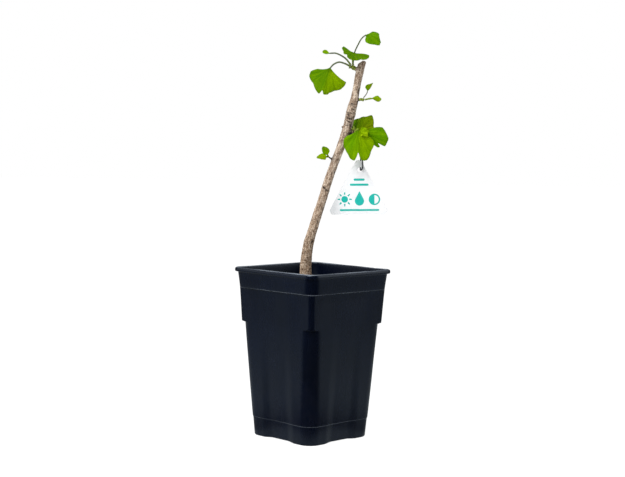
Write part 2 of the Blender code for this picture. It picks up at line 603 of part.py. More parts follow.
def make_leaf(name, leaf, collection, material):
    """A fan-shaped blade and its petiole, one closed solid."""
    columns = []
    for first, last in zip(leaf["rim"], leaf["rim"][1:]):
        columns += [first, tuple((a + b) / 2 for a, b in zip(first, last))]
    columns.append(leaf["rim"][-1])
    bm = bmesh.new()
    grid = [[bm.verts.new(blade_point(leaf, angle, reach, share)) for share in BLADE_ROWS]
            for angle, reach in columns]
    for left, right in zip(grid, grid[1:]):
        for row in range(len(BLADE_ROWS) - 1):
            bm.faces.new((left[row], right[row], right[row + 1], left[row + 1]))
    blade = object_from_bmesh(name + "_blade", bm, collection)
    thickness = blade.modifiers.new("thickness", "SOLIDIFY")
    thickness.thickness = LEAF_THICKNESS * MM
    thickness.offset = 0
    solid = evaluated_copy(blade, name + "_solid", collection)
    bpy.data.objects.remove(blade, do_unlink=True)
    weld(solid)

    start, end = leaf["petiole_radius"]
    points = [plant_point(*place) for place in leaf["petiole"]]
    points += [plant_point(*leaf["base"]), blade_point(leaf, 0, leaf["size"], PETIOLE_REACH)]
    count = len(points) - 1
    radii = [start + (end - start) * index / count for index in range(count)] + [0.5 * end]
    petiole = rod(name + "_petiole", points, radii, collection, 2)
    return fuse(name, [petiole, solid], collection, material)


def tag_outline():
    """The triangle's outline with round corners, anticlockwise from its sharp apex, in mm."""
    half_width = TAG_WIDTH / 2
    corners = [Vector((0, 0)), Vector((-half_width, -TAG_HEIGHT)), Vector((half_width, -TAG_HEIGHT))]
    outline = []
    for index, corner in enumerate(corners):
        arriving = (corner - corners[index - 1]).normalized()
        leaving = (corners[(index + 1) % 3] - corner).normalized()
        sweep = arriving.angle(leaving)
        centre = corner + (leaving - arriving).normalized() * TAG_CORNER / math.cos(sweep / 2)
        start = math.atan2(-arriving.x, arriving.y)
        for step in range(TAG_CORNER_STEPS + 1):
            turn = start + sweep * step / TAG_CORNER_STEPS
            outline.append(centre + TAG_CORNER * Vector((math.cos(turn), math.sin(turn))))
    return outline


def tag_place(x, z, depth):
    """A point of the tag from its own flat coordinates, with the curl of its left side."""
    tilt = math.radians(TAG_TILT)
    bent = max(0.0, -x - CURL_START) / (TAG_WIDTH / 2 - CURL_START)
    along = TAG_APEX[0] + x * math.cos(tilt) - z * math.sin(tilt)
    height = TAG_APEX[2] + x * math.sin(tilt) + z * math.cos(tilt)
    return plant_point(along, TAG_APEX[1] + CURL_DEPTH * bent ** 2 + depth, height)


def make_tag(collection, material):
    """A thin plastic tag: a flat outline with a hole, cut into strips and curled forward at the left."""
    curve = bpy.data.curves.new("tag_outline", "CURVE")
    curve.dimensions = "2D"
    curve.fill_mode = "BOTH"
    curve.extrude = TAG_THICKNESS / 2
    hole = [Vector((HOLE_RADIUS * math.cos(turn), HOLE_RADIUS * math.sin(turn) - HOLE_DROP))
            for turn in (math.tau * step / 16 for step in range(16))]
    for outline in (tag_outline(), hole):
        spline = curve.splines.new("POLY")
        spline.points.add(len(outline) - 1)
        for node, point in zip(spline.points, outline):
            node.co = (*point, 0, 1)
        spline.use_cyclic_u = True
    guide = bpy.data.objects.new("tag_guide", curve)
    collection.objects.link(guide)
    tag = evaluated_copy(guide, "tag", collection)
    bpy.data.objects.remove(guide, do_unlink=True)

    bm = bmesh.new()
    bm.from_mesh(tag.data)
    bmesh.ops.remove_doubles(bm, verts=bm.verts, dist=0.0001)
    strip = (TAG_WIDTH / 2 - CURL_START) / CURL_STRIPS
    for index in range(CURL_STRIPS):
        place = (-CURL_START - strip * index, 0, 0)
        geometry = bm.verts[:] + bm.edges[:] + bm.faces[:]
        bmesh.ops.bisect_plane(bm, geom=geometry, dist=0.0001, plane_co=place, plane_no=(1, 0, 0))
    for vertex in bm.verts:
        vertex.co = tag_place(*vertex.co)
    bmesh.ops.triangulate(bm, faces=bm.faces)
    bmesh.ops.recalc_face_normals(bm, faces=bm.faces)
    bm.to_mesh(tag.data)
    bm.free()
    tag.data.materials.append(material)
    return tag


def make_wire(collection, material):
    """The bent wire: hooked over the middle spur, down in front of the tag and through its hole."""
    points = [plant_point(*place) for place in WIRE]
    wire = rod("tag_wire", points, [WIRE_RADIUS] * len(points), collection, 3)
    wire.data.materials.append(material)
    shade_round(wire)
    return wire


def main():
    clear_scene()
    parts = new_collection("ginkgo_bonsai")
    cutters = new_collection("cutters")
    plastic = new_material("pot_plastic", (0.018, 0.022, 0.034), 0.38)
    mix = new_material("potting_mix", (0.09, 0.055, 0.035), 0.95)
    bark = new_material("bark", (0.42, 0.31, 0.24), 0.85)
    green = new_material("shoot_green", (0.27, 0.37, 0.06), 0.5)
    leaf_green = new_material("leaf_green", (0.16, 0.34, 0.02), 0.45)
    white = new_material("tag_plastic", (0.9, 0.9, 0.9), 0.4)
    steel = new_material("wire_steel", (0.45, 0.45, 0.47), 0.35, 1.0)

    make_pot(parts, cutters, plastic)
    make_soil(parts, cutters, mix)
    make_trunk(parts, bark)
    for name in SHOOTS:
        make_shoot(name, parts, green)
    for name, leaf in LEAVES.items():
        make_leaf(name, leaf, parts, leaf_green)
    make_tag(parts, white)
    make_wire(parts, steel)


main()
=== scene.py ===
"""Looks of the young ginkgo bonsai: bark, veined leaves, moulded pot, potting mix, hanging tag."""
import math
import random

import bmesh
import bpy
import numpy as np
from mathutils import Matrix, Vector, noise


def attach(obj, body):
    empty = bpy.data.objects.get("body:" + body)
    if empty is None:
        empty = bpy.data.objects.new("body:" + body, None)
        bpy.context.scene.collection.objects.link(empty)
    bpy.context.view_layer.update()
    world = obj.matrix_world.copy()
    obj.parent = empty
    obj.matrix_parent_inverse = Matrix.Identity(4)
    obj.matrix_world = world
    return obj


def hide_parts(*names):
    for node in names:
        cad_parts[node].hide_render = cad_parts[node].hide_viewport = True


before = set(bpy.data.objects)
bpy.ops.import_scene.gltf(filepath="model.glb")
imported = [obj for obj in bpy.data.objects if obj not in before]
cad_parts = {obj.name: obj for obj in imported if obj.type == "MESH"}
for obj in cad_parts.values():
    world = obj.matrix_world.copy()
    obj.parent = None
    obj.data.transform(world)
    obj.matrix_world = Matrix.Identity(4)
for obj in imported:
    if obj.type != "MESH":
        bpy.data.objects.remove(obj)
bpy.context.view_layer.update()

MM = 0.001
ROOT = "root"
SEED = 7
AZIMUTH = 0.7904                # the camera's heading, radians
SOIL_TOP = 132.0                # mm, as are the lengths below

# Trunk: height, place along the lean, place across it (+ is away from the viewer), diameter, mm
LEAN_HEADING = math.radians(45)
TRUNK = [
    (104, -6.4, 0.0, 5.0), (112, -6.4, 0.0, 10.0), (122, -6.4, 0.0, 12.6), (133, -6.5, 0.0, 12.3),
    (146, -6.4, 0.0, 11.2), (160, -6.0, -0.3, 10.1), (174, -4.4, -0.8, 9.5), (183, -2.1, -1.2, 8.9),
    (192, 0.6, -1.5, 8.6), (202, 3.5, -1.6, 8.4), (211, 6.4, -1.5, 8.0), (220, 9.0, -1.2, 7.8),
    (229, 11.6, -0.8, 7.8), (243, 16.1, 0.0, 7.6), (252, 19.3, 0.5, 7.7), (261, 22.6, 0.9, 7.6),
    (270, 25.7, 1.2, 7.8), (279, 28.7, 1.3, 8.2), (288, 30.8, 1.3, 8.5), (293, 32.0, 1.2, 8.9),
    (297, 32.7, 1.1, 8.8), (302, 34.0, 0.9, 8.3), (306, 35.0, 0.8, 7.6), (311, 36.0, 0.6, 7.1),
    (320, 37.4, 0.4, 6.8), (329, 38.9, 0.2, 7.2), (334, 40.1, 0.1, 7.0), (344, 42.6, 0.0, 6.8),
]
# The trunk's sloping cut, and the blunted far side of its tip
CUT_PLACE = np.array((39.8, 0.0, 340.2))
CUT_NORMAL = np.array((-0.62, 0.0, 0.78)) / math.hypot(0.62, 0.78)
TIP_PLACE = np.array((42.4, 0.0, 342.4))
TIP_NORMAL = np.array((0.55, 0.0, 0.83)) / math.hypot(0.55, 0.83)
BEYOND_CUT = 6.0                # rings farther out than this are left out
TRUNK_VOXEL, SHOOT_VOXEL = 0.42, 0.17
# Main roots: heading in degrees, reach, height of the tip, radius
TRUNK_FOOT = -6.4
ROOT_TOP, ROOT_BEND, ROOT_MIDDLE, ROOT_TAPER = 122.0, 113.0, 0.45, (1.0, 0.75, 0.35)
ROOTS = [(20, 27, 96, 3.2), (105, 24, 100, 2.8), (190, 28, 92, 3.4), (285, 25, 98, 3.0)]
# Woody spurs: places along the lean, across it and in height, with the radius there
SPURS = [
    [(29, 1.2, 277.5, 2.6), (33.0, 0.3, 276.6, 2.3), (35.2, -0.4, 276.2, 1.9)],
    [(39.6, 0, 333.0, 2.4), (37.0, -0.6, 333.8, 2.2), (35.2, -0.9, 334.4, 1.8)],
    [(34.5, 0.6, 306.4, 2.0), (39.2, 0.0, 306.6, 1.5)],
    [(18.2, 0.4, 251.4, 1.5), (14.9, 0.0, 253.2, 0.9), (12.9, -0.3, 254.6, 0.8)],
    [(28.6, 1.2, 281.0, 2.0), (24.7, 0.6, 282.0, 1.0)],
]
# Stain at each spur's tip: reach in mm, darkness
SPUR_STAINS = [(2.4, 0.5), (2.4, 0.35), (2.4, 0.35), (5.0, 1.2), (2.4, 0.5)]
# Rings grown round the trunk at its nodes: height, bulge, width, lean of the ring, wrinkle depth, which also
# darkens the wrinkle valleys as painted shade
NODES = [
    (294.5, 0.25, 3.0, 0.10, 0.30), (286.5, 0.30, 3.4, -0.25, 0.32), (276.5, 0.25, 3.0, 0.2, 0.16),
    (301.0, 0.12, 1.4, -0.15, 0.26), (290.5, 0.10, 1.6, 0.25, 0.26), (225.6, 0.28, 2.2, -0.35, 0.24),
    (305.5, 0.15, 2.0, 0.1, 0.12), (333.0, 0.12, 2.2, 0.0, 0.10), (178.0, 0.12, 2.6, 0.2, 0.10),
    (252.0, 0.12, 2.0, 0.2, 0.10),
]
# Scars and dark marks: height, bearing from the viewer in degrees (+ is right), half height,
# half width in mm, depth, darkness
SCARS = [
    (314.5, 48, 4.2, 1.5, 0.35, 0.80), (305.2, 74, 2.4, 1.6, 0.15, 0.85), (294.2, -22, 0.7, 2.6, 0.15, 0.45),
    (287.0, 16, 0.8, 3.0, 0.2, 0.55), (284.0, 40, 1.8, 1.4, 0.2, 0.6), (277.5, 66, 2.6, 1.8, 0.2, 0.9),
    (226.2, -30, 1.1, 2.2, 0.35, 0.85), (224.4, 20, 0.9, 2.0, 0.2, 0.7), (241.5, 52, 1.8, 1.0, 0.3, 0.9),
    (231.0, 38, 3.0, 0.9, 0.1, 0.55), (214.0, -2, 6.5, 0.5, 0.2, 0.5), (207.0, 58, 5.0, 0.9, 0.1, 0.6),
    (178.5, 40, 2.2, 1.0, 0.25, 0.85), (196.0, 30, 2.0, 0.7, 0.15, 0.5), (168.0, -25, 2.2, 0.6, 0.15, 0.5),
    (336.0, -80, 2.4, 1.6, 0.1, 0.8), (322.0, 30, 5.0, 0.5, 0.12, 0.35), (262.0, 25, 6.0, 0.4, 0.12, 0.35),
    (302.5, -10, 0.8, 2.6, 0.2, 0.8), (298.2, 22, 0.8, 2.4, 0.2, 0.7), (292.5, -35, 0.9, 2.0, 0.2, 0.75),
    (289.4, 8, 0.8, 2.6, 0.2, 0.8), (283.0, -14, 0.7, 2.0, 0.15, 0.6), (309.5, 66, 3.4, 1.3, 0.1, 0.6),
    (299.0, 160, 1.6, 1.6, 0.3, 0.7), (248.0, 190, 2.0, 1.4, 0.3, 0.7), (268.0, 120, 1.4, 1.8, 0.2, 0.6),
    (203.0, 150, 1.6, 2.0, 0.3, 0.7), (160.0, 200, 2.0, 1.5, 0.25, 0.6), (319.0, 230, 1.5, 1.3, 0.2, 0.6),
]

# Green shoots, like the spurs, and their bud scales: the way each points and its length
SHOOTS = {
    "top_shoot": [(34.7, -1.0, 334.7, 1.9), (33.6, -1.2, 335.3, 2.1), (32.6, -1.4, 336.2, 1.4)],
    "middle_shoot": [(35.7, -0.6, 276.2, 1.9), (36.8, -0.8, 276.3, 2.0), (38.0, -1.1, 276.7, 1.4)],
    "right_shoot": [(39.7, 0.0, 306.7, 1.2), (41.4, 0.0, 306.9, 1.3), (43.6, -0.1, 306.8, 0.9)],
    "left_shoot": [(12.5, -0.4, 254.9, 0.8), (11.9, -0.5, 255.3, 0.9)],
}
SCALES = {
    "top_shoot": [((-0.95, -0.2, -0.15), 4.6), ((-0.3, -0.5, 0.9), 4.4), ((-0.5, 0.7, 0.5), 3.8)],
    "middle_shoot": [((0.5, -0.2, -0.85), 3.0), ((0.0, 0.1, 1.0), 3.4), ((0.2, -0.7, -0.6), 2.8),
                     ((-0.75, -0.5, 0.45), 4.6), ((-0.5, -0.8, -0.1), 4.0), ((-0.30, -0.1, 0.95), 7.2),
                     ((-0.62, -0.2, 0.75), 6.4)],
    "right_shoot": [((0.9, 0.4, 0.35), 3.2), ((0.85, -0.3, -0.5), 3.0)],
    "left_shoot": [],
}
LONG_SCALE = 6.0                # longer scales are also wider
SCALE_HALF, LONG_HALF = 0.95, 1.35

# Leaves with the measures of the solids and finer surfaces. The rim gives the reach at bearings in
# degrees from the heading; pinch draws the bearings together near the base; droop, roll and fold
# are degrees; wave is depth, count and phase. A leaf that doesn't name one is as in FLAT_LEAF.
FLAT_LEAF = dict(pinch=0.0, droop=0, roll=0, fold=(0, 0), wave=(0, 0, 0), petiole_radius=(0.6, 0.6))
LEAVES = {
    "leaf_top_left": dict(
        base=(12.9, -1, 334.6), heading=(-0.27, -0.28, -0.92), facing=(0.05, -0.93, 0.35), size=26,
        pinch=0.22, droop=18, roll=25, fold=(14, 14), wave=(0.8, 5, 40),
        rim=[(75, 10), (74, 16), (71, 19.5), (59, 21.8), (33, 21.2), (18, 24), (6, 26), (3, 20.8),
             (-2, 25.0), (-11, 24.6), (-15, 22.8), (-29, 21.2), (-44, 22.2), (-60, 21.8), (-71, 20.6)],
        petiole=[(31.0, -1.9, 336.2), (26.1, -2.3, 338.6), (20.7, -2.2, 339.9), (15.8, -1.6, 337.8)],
        petiole_radius=(0.75, 0.6)),
    "leaf_top_right": dict(
        base=(44.6, 2, 364.9), heading=(0.74, -0.26, -0.62), facing=(0.28, -0.90, 0.30), size=15,
        pinch=0.1, droop=20, roll=38, wave=(0.5, 6, 0),
        rim=[(-82, 7.6), (-75, 11.2), (-68, 13.8), (-61, 14.3), (-52, 13.1), (-42, 12.9), (-32, 13.6),
             (-22, 15.4), (-16, 15.2), (-12, 15.8), (-1, 13.8), (6, 11.9), (17, 10.6), (33, 8.6),
             (49, 7.0), (58, 4.5)],
        petiole=[(33.2, 1.4, 337.3), (33.9, 2.2, 344.0), (34.9, 2.6, 349.9), (38.0, 2.8, 356.9),
                 (40.9, 2.5, 361.9)],
        petiole_radius=(0.6, 0.5)),
    "leaf_top_front": dict(
        base=(33.3, -1, 348.7), heading=(0.05, -0.86, -0.50), facing=(0.33, -0.50, 0.80), size=15.5,
        pinch=0.12, roll=-12, wave=(0.3, 4, 0),
        rim=[(122, 6), (120, 10.5), (97, 11.1), (64, 10.9), (43, 14.2), (38, 10.2), (23, 17.0),
             (12, 17.2), (-12, 13.9), (-31, 11.8), (-41, 12.9), (-54, 14.5), (-76, 14.9), (-98, 15.0),
             (-106, 13.0), (-110, 8)],
        petiole=[(33.4, -1.2, 337.8), (33.0, -0.2, 341.5), (32.9, 0.2, 345.5)],
        petiole_radius=(0.75, 0.6)),
    "leaf_top_furled": dict(
        base=(12.2, -4, 347.5), heading=(-0.98, -0.1, 0.12), facing=(0.1, -0.75, 0.65), size=6.8,
        droop=-8, roll=-95,
        rim=[(44, 3.6), (28, 5.6), (10, 6.8), (-6, 6.8), (-20, 6.0), (-36, 4.4)],
        petiole=[(31.3, -3.9, 337.4), (26.9, -4.3, 342.7), (22.4, -4.4, 345.7), (17.8, -4.3, 347.6),
                 (14.6, -4.1, 347.7)],
        petiole_radius=(0.7, 0.55)),
    "leaf_right_fan": dict(
        base=(50.6, -1.6, 307.9), heading=(0.99, -0.1, 0.02), facing=(0, -0.85, 0.5), size=9.0,
        droop=10, roll=20, wave=(0.2, 5, 0),
        rim=[(-38, 4.6), (-32, 6.2), (-12, 7.6), (2, 9.0), (14, 8.6), (28, 7.2), (34, 5.6)],
        petiole=[(44.9, -0.5, 306.8), (46.6, -0.9, 307.2), (48.6, -1.3, 307.6)],
        petiole_radius=(0.65, 0.75)),
    "leaf_right_curled": dict(
        base=(47.0, 1.4, 314.6), heading=(-0.05, -0.1, 0.99), facing=(-0.5, -0.8, 0.2), size=7.0,
        droop=45, roll=-60, wave=(0.5, 6, 30),
        rim=[(-40, 3.4), (-26, 5.6), (-8, 6.6), (8, 6.2), (20, 7.0), (34, 8.8), (46, 9.2), (54, 7.0)],
        petiole=[(43.4, 1.2, 308.6), (44.8, 1.4, 310.2), (46.2, 1.5, 312.4)],
        petiole_radius=(0.4, 0.38)),
    "leaf_middle_back": dict(
        base=(37.6, 3.7, 277.0), heading=(0.38, 0.22, 0.90), facing=(0.08, -0.95, 0.25), size=20,
        pinch=0.15, droop=10, fold=(0, 45), wave=(0.5, 5, 0),
        rim=[(-96, 6.0), (-77, 7.6), (-58, 10.6), (-38, 15.6), (-16, 14.8), (8, 17.6),
             (17, 22.2), (31, 19.8), (43, 17.2), (60, 16.8), (74, 12.0)],
        petiole=[(37.2, 1.3, 276.6), (37.4, 2.4, 276.8)]),
    "leaf_middle_right": dict(
        base=(43.5, -0.8, 277.4), heading=(0.96, 0.02, -0.24), facing=(-0.15, -0.93, 0.22), size=23,
        pinch=0.15, droop=14, roll=24, fold=(8, 8), wave=(0.6, 4, 0),
        rim=[(-42, 9), (-37, 15), (-32, 19.4), (-17, 21.8), (-3, 24.2), (8, 24.2), (17, 24.0),
             (20, 16.4), (25, 20.6), (30, 19.8), (34, 15.6), (40, 9)],
        petiole=[(39.2, -1.1, 277.3), (41.2, -1.2, 277.9)]),
    "leaf_middle_front": dict(
        base=(39.2, -7.0, 279.5), heading=(0.03, -0.22, -0.96), facing=(0.05, -0.95, 0.25), size=29,
        pinch=0.22, droop=10, roll=16, fold=(8, 8), wave=(0.7, 5, 0),
        rim=[(64, 11), (60, 15.4), (46, 19.3), (37, 21.0), (24, 24.4), (16, 27.6), (8, 28.5), (5, 25.5),
             (1, 19.7), (-3, 27.0), (-10, 28.6), (-17, 28.4), (-24, 25.6), (-31, 22.4), (-46, 20.0),
             (-56, 17.0), (-60, 11)],
        petiole=[(36.6, -3.4, 276.9), (37.4, -5.2, 278.8), (38.5, -6.4, 280.0)],
        petiole_radius=(0.75, 0.65)),
    "leaf_middle_young": dict(
        base=(39.8, -4.4, 276.8), heading=(0.93, -0.35, 0.1), facing=(-0.1, -0.75, 0.65), size=9,
        droop=12, roll=-30, wave=(1.6, 9, 20),
        rim=[(-72, 5.0), (-50, 8.4), (-34, 7.2), (-14, 9.6), (4, 8.0), (20, 9.8), (40, 7.4), (66, 5.6)],
        petiole=[(38.6, -2.4, 276.8), (39.6, -3.6, 277.0)],
        petiole_radius=(0.6, 0.55)),
    "leaf_left_upper": dict(
        base=(12.0, -1.1, 256.0), heading=(-0.46, -0.1, 0.88), facing=(-0.3, -0.9, 0.2), size=9,
        droop=-15, roll=-12, wave=(0.2, 5, 0),
        rim=[(-40, 4.4), (-24, 6.6), (-10, 8.8), (1, 9.6), (12, 8.6), (24, 7.4), (38, 6.0), (52, 4.2)],
        petiole=[(12.2, -0.8, 255.5)]),
    "leaf_left_lower": dict(
        base=(11.2, -1.8, 254.6), heading=(-0.97, -0.1, 0.0), facing=(0.0, -0.8, 0.6), size=9,
        droop=10, roll=-12, wave=(0.2, 5, 0),
        rim=[(-66, 3.6), (-36, 5.0), (-14, 7.2), (-6, 9.4), (4, 9.0), (14, 7.8), (30, 6.4), (50, 5.4),
             (74, 4.2)],
        petiole=[(11.9, -1.1, 254.8)]),
}
BLADE_START = 0.05              # share of the reach where the petiole opens into the blade
BLADE_THICKNESS, SMALL_THICKNESS, SMALL_LEAF = 0.44, 0.52, 10
RIM_WOBBLE = 0.009              # share of the reach

# Painted highlight lines along the pot's ledges and lip: height and half width in metres, strength
LEDGE_HIGHLIGHTS = [(0.1352, 0.00042, 0.28), (0.0172, 0.00035, 0.14), (0.1532, 0.00034, 0.80)]

# Colours, linear: leaves and shoots
GREEN_DEEP = (0.062, 0.185, 0.0002)
GREEN = (0.125, 0.335, 0.0003)
# the next two are the shaded and the lit tone of one green: painted shade and painted light for a blade's
# halves
GREEN_PAINTED_SHADE = (0.080, 0.215, 0.0002)
GREEN_BRIGHT = (0.290, 0.480, 0.0004)
GREEN_YOUNG = (0.400, 0.560, 0.0040)
OLIVE = (0.210, 0.270, 0.0020)
GREEN_RIM = (0.130, 0.190, 0.003)
GREEN_FOOT = (0.050, 0.120, 0.001)
STALK_YOUNG = (0.180, 0.250, 0.014)
PETIOLE_GREY = (0.150, 0.180, 0.105)
PETIOLE_GREEN = (0.260, 0.370, 0.035)
PETIOLE_BROWN = (0.220, 0.220, 0.170)
# A blade's colour at its positive and at its negative bearings, and its petiole's; a half in the shade green
# is painted shade and a half in GREEN_BRIGHT is painted light
LEAF_COLOURS = {
    "leaf_top_left": (GREEN_PAINTED_SHADE, GREEN_BRIGHT, PETIOLE_GREY),
    "leaf_top_right": (GREEN, GREEN, PETIOLE_GREY),
    "leaf_top_front": (GREEN_PAINTED_SHADE, GREEN_PAINTED_SHADE, PETIOLE_GREEN),
    "leaf_top_furled": (GREEN_BRIGHT, GREEN, PETIOLE_GREY),
    "leaf_right_fan": (OLIVE, GREEN_BRIGHT, PETIOLE_GREEN),
    "leaf_right_curled": (OLIVE, GREEN, PETIOLE_BROWN),
    "leaf_middle_back": (OLIVE, GREEN, PETIOLE_GREEN),
    "leaf_middle_right": (GREEN, GREEN, PETIOLE_GREEN),
    "leaf_middle_front": (GREEN, GREEN_BRIGHT, PETIOLE_GREEN),
    "leaf_middle_young": (GREEN_YOUNG, GREEN_BRIGHT, PETIOLE_GREEN),
    "leaf_left_upper": (GREEN_BRIGHT, GREEN, OLIVE),
    "leaf_left_lower": (GREEN_BRIGHT, OLIVE, OLIVE),
}
# A shaded wedge beside a blade's middle: its bearing in degrees / 100, and its strength
WEDGE_BEARING = 0.10
WEDGES = {"leaf_top_left_green": 0.6, "leaf_top_right_green": 0.35}
# Pot, bark and the rest
NAVY_DARK, NAVY = (0.0004, 0.0014, 0.0062), (0.0010, 0.0026, 0.0105)
# The second colour below is a painted highlight, drawn as thin pale lines along the pot's ledges and lip
DUST, PAINTED_HIGHLIGHT = (0.030, 0.024, 0.022), (0.230, 0.260, 0.300)
YOUNG_BARK = [(0.30, (0.120, 0.070, 0.044)), (0.46, (0.330, 0.226, 0.154)), (0.62, (0.690, 0.565, 0.445))]
AGED_BARK = [(0.30, (0.170, 0.098, 0.054)), (0.48, (0.370, 0.250, 0.160)), (0.68, (0.620, 0.480, 0.350))]
BARK_SHADE, BARK_BLOOM = (0.095, 0.056, 0.034), (0.720, 0.610, 0.500)
# the second colour below serves the real stains and also the painted shade in the trunk's wrinkle valleys
CRACK, STAIN_AND_FOLD_SHADE = (0.070, 0.042, 0.026), (0.032, 0.020, 0.013)
WOOD_PALE, WOOD_RING = (0.330, 0.215, 0.140), (0.190, 0.110, 0.066)
# Cork specks: stretch and shift of the cells, their size, ramp stops, growth with age, colour
SPECKS = [
    ((1, 1, 1.2), (0, 0, 0), 0.52, ((0.22, 0.9), (0.38, 0.0)), (0.7, 0.2), (0.680, 0.560, 0.440)),
    ((1, 1, 0.8), (5, 3, 1), 0.44, ((0.20, 1.0), (0.36, 0.0)), (0.8, 0.15), (0.075, 0.038, 0.020)),
]
SHOOT_TONES = [(0.34, (0.090, 0.085, 0.010)), (0.46, (0.150, 0.200, 0.010)), (0.70, (0.300, 0.380, 0.050))]
STEEL_DARK, STEEL, WIRE_STAIN = (0.085, 0.087, 0.092), (0.240, 0.243, 0.250), (0.110, 0.060, 0.032)
TAG_WHITE, TAG_INK = (0.87, 0.88, 0.89), (0.004, 0.470, 0.400)
PEAT = ((0.022, 0.013, 0.008), (0.075, 0.047, 0.030))
CHIPS = ((0.075, 0.036, 0.018), (0.190, 0.105, 0.055))
GRIT = ((0.300, 0.270, 0.230), (0.520, 0.490, 0.440))
# the last of these is the tint of the floor's painted reflection, which only glossy rays see
FLOOR_LIT, FLOOR_GLOW, FLOOR_PAINTED_REFLECTION = 0.80, 1.2, (0.84, 0.93, 1.0)


# Small tools

def to_world(points):
    """Plant measures in mm (along the lean, across it, height) as places in metres."""
    points = np.asarray(points, float)
    c, s = math.cos(LEAN_HEADING), math.sin(LEAN_HEADING)
    along, across = points[..., 0], points[..., 1]
    return np.stack((along * c - across * s, along * s + across * c, points[..., 2]), -1) * MM


def unit(vectors):
    """The rows at a length of one."""
    vectors = np.asarray(vectors, float)
    return vectors / np.maximum(np.linalg.norm(vectors, axis=-1, keepdims=True), 1e-12)


def smoothstep(value, low, high):
    """0 up to low, 1 from high on, and a soft rise between them."""
    t = np.clip((np.asarray(value, float) - low) / (high - low), 0, 1)
    return t * t * (3 - 2 * t)


def put(name, data):
    """A new object in the scene."""
    item = bpy.data.objects.new(name, data)
    bpy.context.scene.collection.objects.link(item)
    return item


def raw_mesh(name, points, faces):
    mesh = bpy.data.meshes.new(name)
    mesh.from_pydata([tuple(p) for p in points], [], faces)
    return mesh


def face_out(mesh):
    """Turn the faces of a closed mesh outwards."""
    bm = bmesh.new()
    bm.from_mesh(mesh)
    bmesh.ops.recalc_face_normals(bm, faces=bm.faces)
    bm.to_mesh(mesh)
    bm.free()


def baked(item):
    """The mesh that the object shows, with its modifiers; the object itself goes."""
    depsgraph = bpy.context.evaluated_depsgraph_get()
    mesh = bpy.data.meshes.new_from_object(item.evaluated_get(depsgraph))
    bpy.data.objects.remove(item, do_unlink=True)
    return mesh


def mesh_piece(name, points, faces, looks, replaces=(), sharp=60, attributes=None, kinds=None):
    """A shown piece from places in metres: smooth shaded, facing out, on the root body."""
    mesh = raw_mesh(name, points, faces)
    for key, values in (attributes or {}).items():
        kind, field = ("FLOAT", "value") if values.ndim == 1 else ("FLOAT_VECTOR", "vector")
        layer = mesh.attributes.new(key, kind, "POINT")
        layer.data.foreach_set(field, values.astype(np.float32).ravel())
    for look in looks:
        mesh.materials.append(look)
    if kinds is not None:
        mesh.polygons.foreach_set("material_index", np.asarray(kinds, np.int32))
    return finish_piece(name, mesh, replaces, sharp)


def finish_piece(name, mesh, replaces=(), sharp=60):
    """The mesh as a shown piece on the root body."""
    face_out(mesh)
    mesh.shade_smooth()
    mesh.set_sharp_from_angle(angle=math.radians(sharp))
    piece = put(name, mesh)
    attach(piece, ROOT)
    if replaces:
        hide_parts(*replaces)
    return piece


def loft_faces(rows, columns, start=0, capped=True):
    """Quads through rows of points that each go round, with a cap at the start and at the end."""
    faces = []
    for row in range(rows - 1):
        a, b = start + row * columns, start + (row + 1) * columns
        for column in range(columns):
            after = (column + 1) % columns
            faces.append((a + column, a + after, b + after, b + column))
    faces.append(tuple(range(start, start + columns))[::-1])
    if capped:
        faces.append(tuple(range(start + (rows - 1) * columns, start + rows * columns)))
    return faces


def smooth_path(points, steps):
    """Points along a Catmull-Rom curve through the given rows of numbers."""
    points = np.asarray(points, float)
    path = []
    for index in range(len(points) - 1):
        before, start = points[max(index - 1, 0)], points[index]
        end, after = points[index + 1], points[min(index + 2, len(points) - 1)]
        for t in np.arange(steps) / steps:
            path.append(0.5 * (2 * start + (end - before) * t
                               + (2 * before - 5 * start + 4 * end - after) * t ** 2
                               + (3 * start - before - 3 * end + after) * t ** 3))
    path.append(points[-1])
    return np.array(path)


def frames_along(path, first_side):
    """Two directions square to the path at each point, which turn as little as they can."""
    ways = unit(np.gradient(np.asarray(path, float), axis=0))
    sides = []
    side = np.asarray(first_side, float)
    for way in ways:
        side = unit(side - way * side.dot(way))
        sides.append(side)
    sides = np.array(sides)
    return sides, np.cross(ways, sides)


def tube(stations, sides, first_side=(0.0, 1.0, 0.0), flat=1.0, domed=False):
    """Rings of points round a path; each station is a place and a radius."""
    stations = np.asarray(stations, float)
    path, radii = stations[:, :3], stations[:, 3]
    if domed:
        way_in, way_out = unit(path[1] - path[0]), unit(path[-1] - path[-2])
        turns = np.radians((80, 60, 40, 20))
        start = [(*(path[0] - way_in * radii[0] * math.sin(t)), radii[0] * math.cos(t)) for t in turns]
        end = [(*(path[-1] + way_out * radii[-1] * math.sin(t)), radii[-1] * math.cos(t))
               for t in turns[::-1]]
        stations = np.concatenate((start, stations, end))
        path, radii = stations[:, :3], stations[:, 3]
    side, other = frames_along(path, first_side)
    turns = (np.arange(sides) / sides * math.tau)[None, :, None]
    across = np.cos(turns) * side[:, None] + flat * np.sin(turns) * other[:, None]
    return path[:, None] + radii[:, None, None] * across


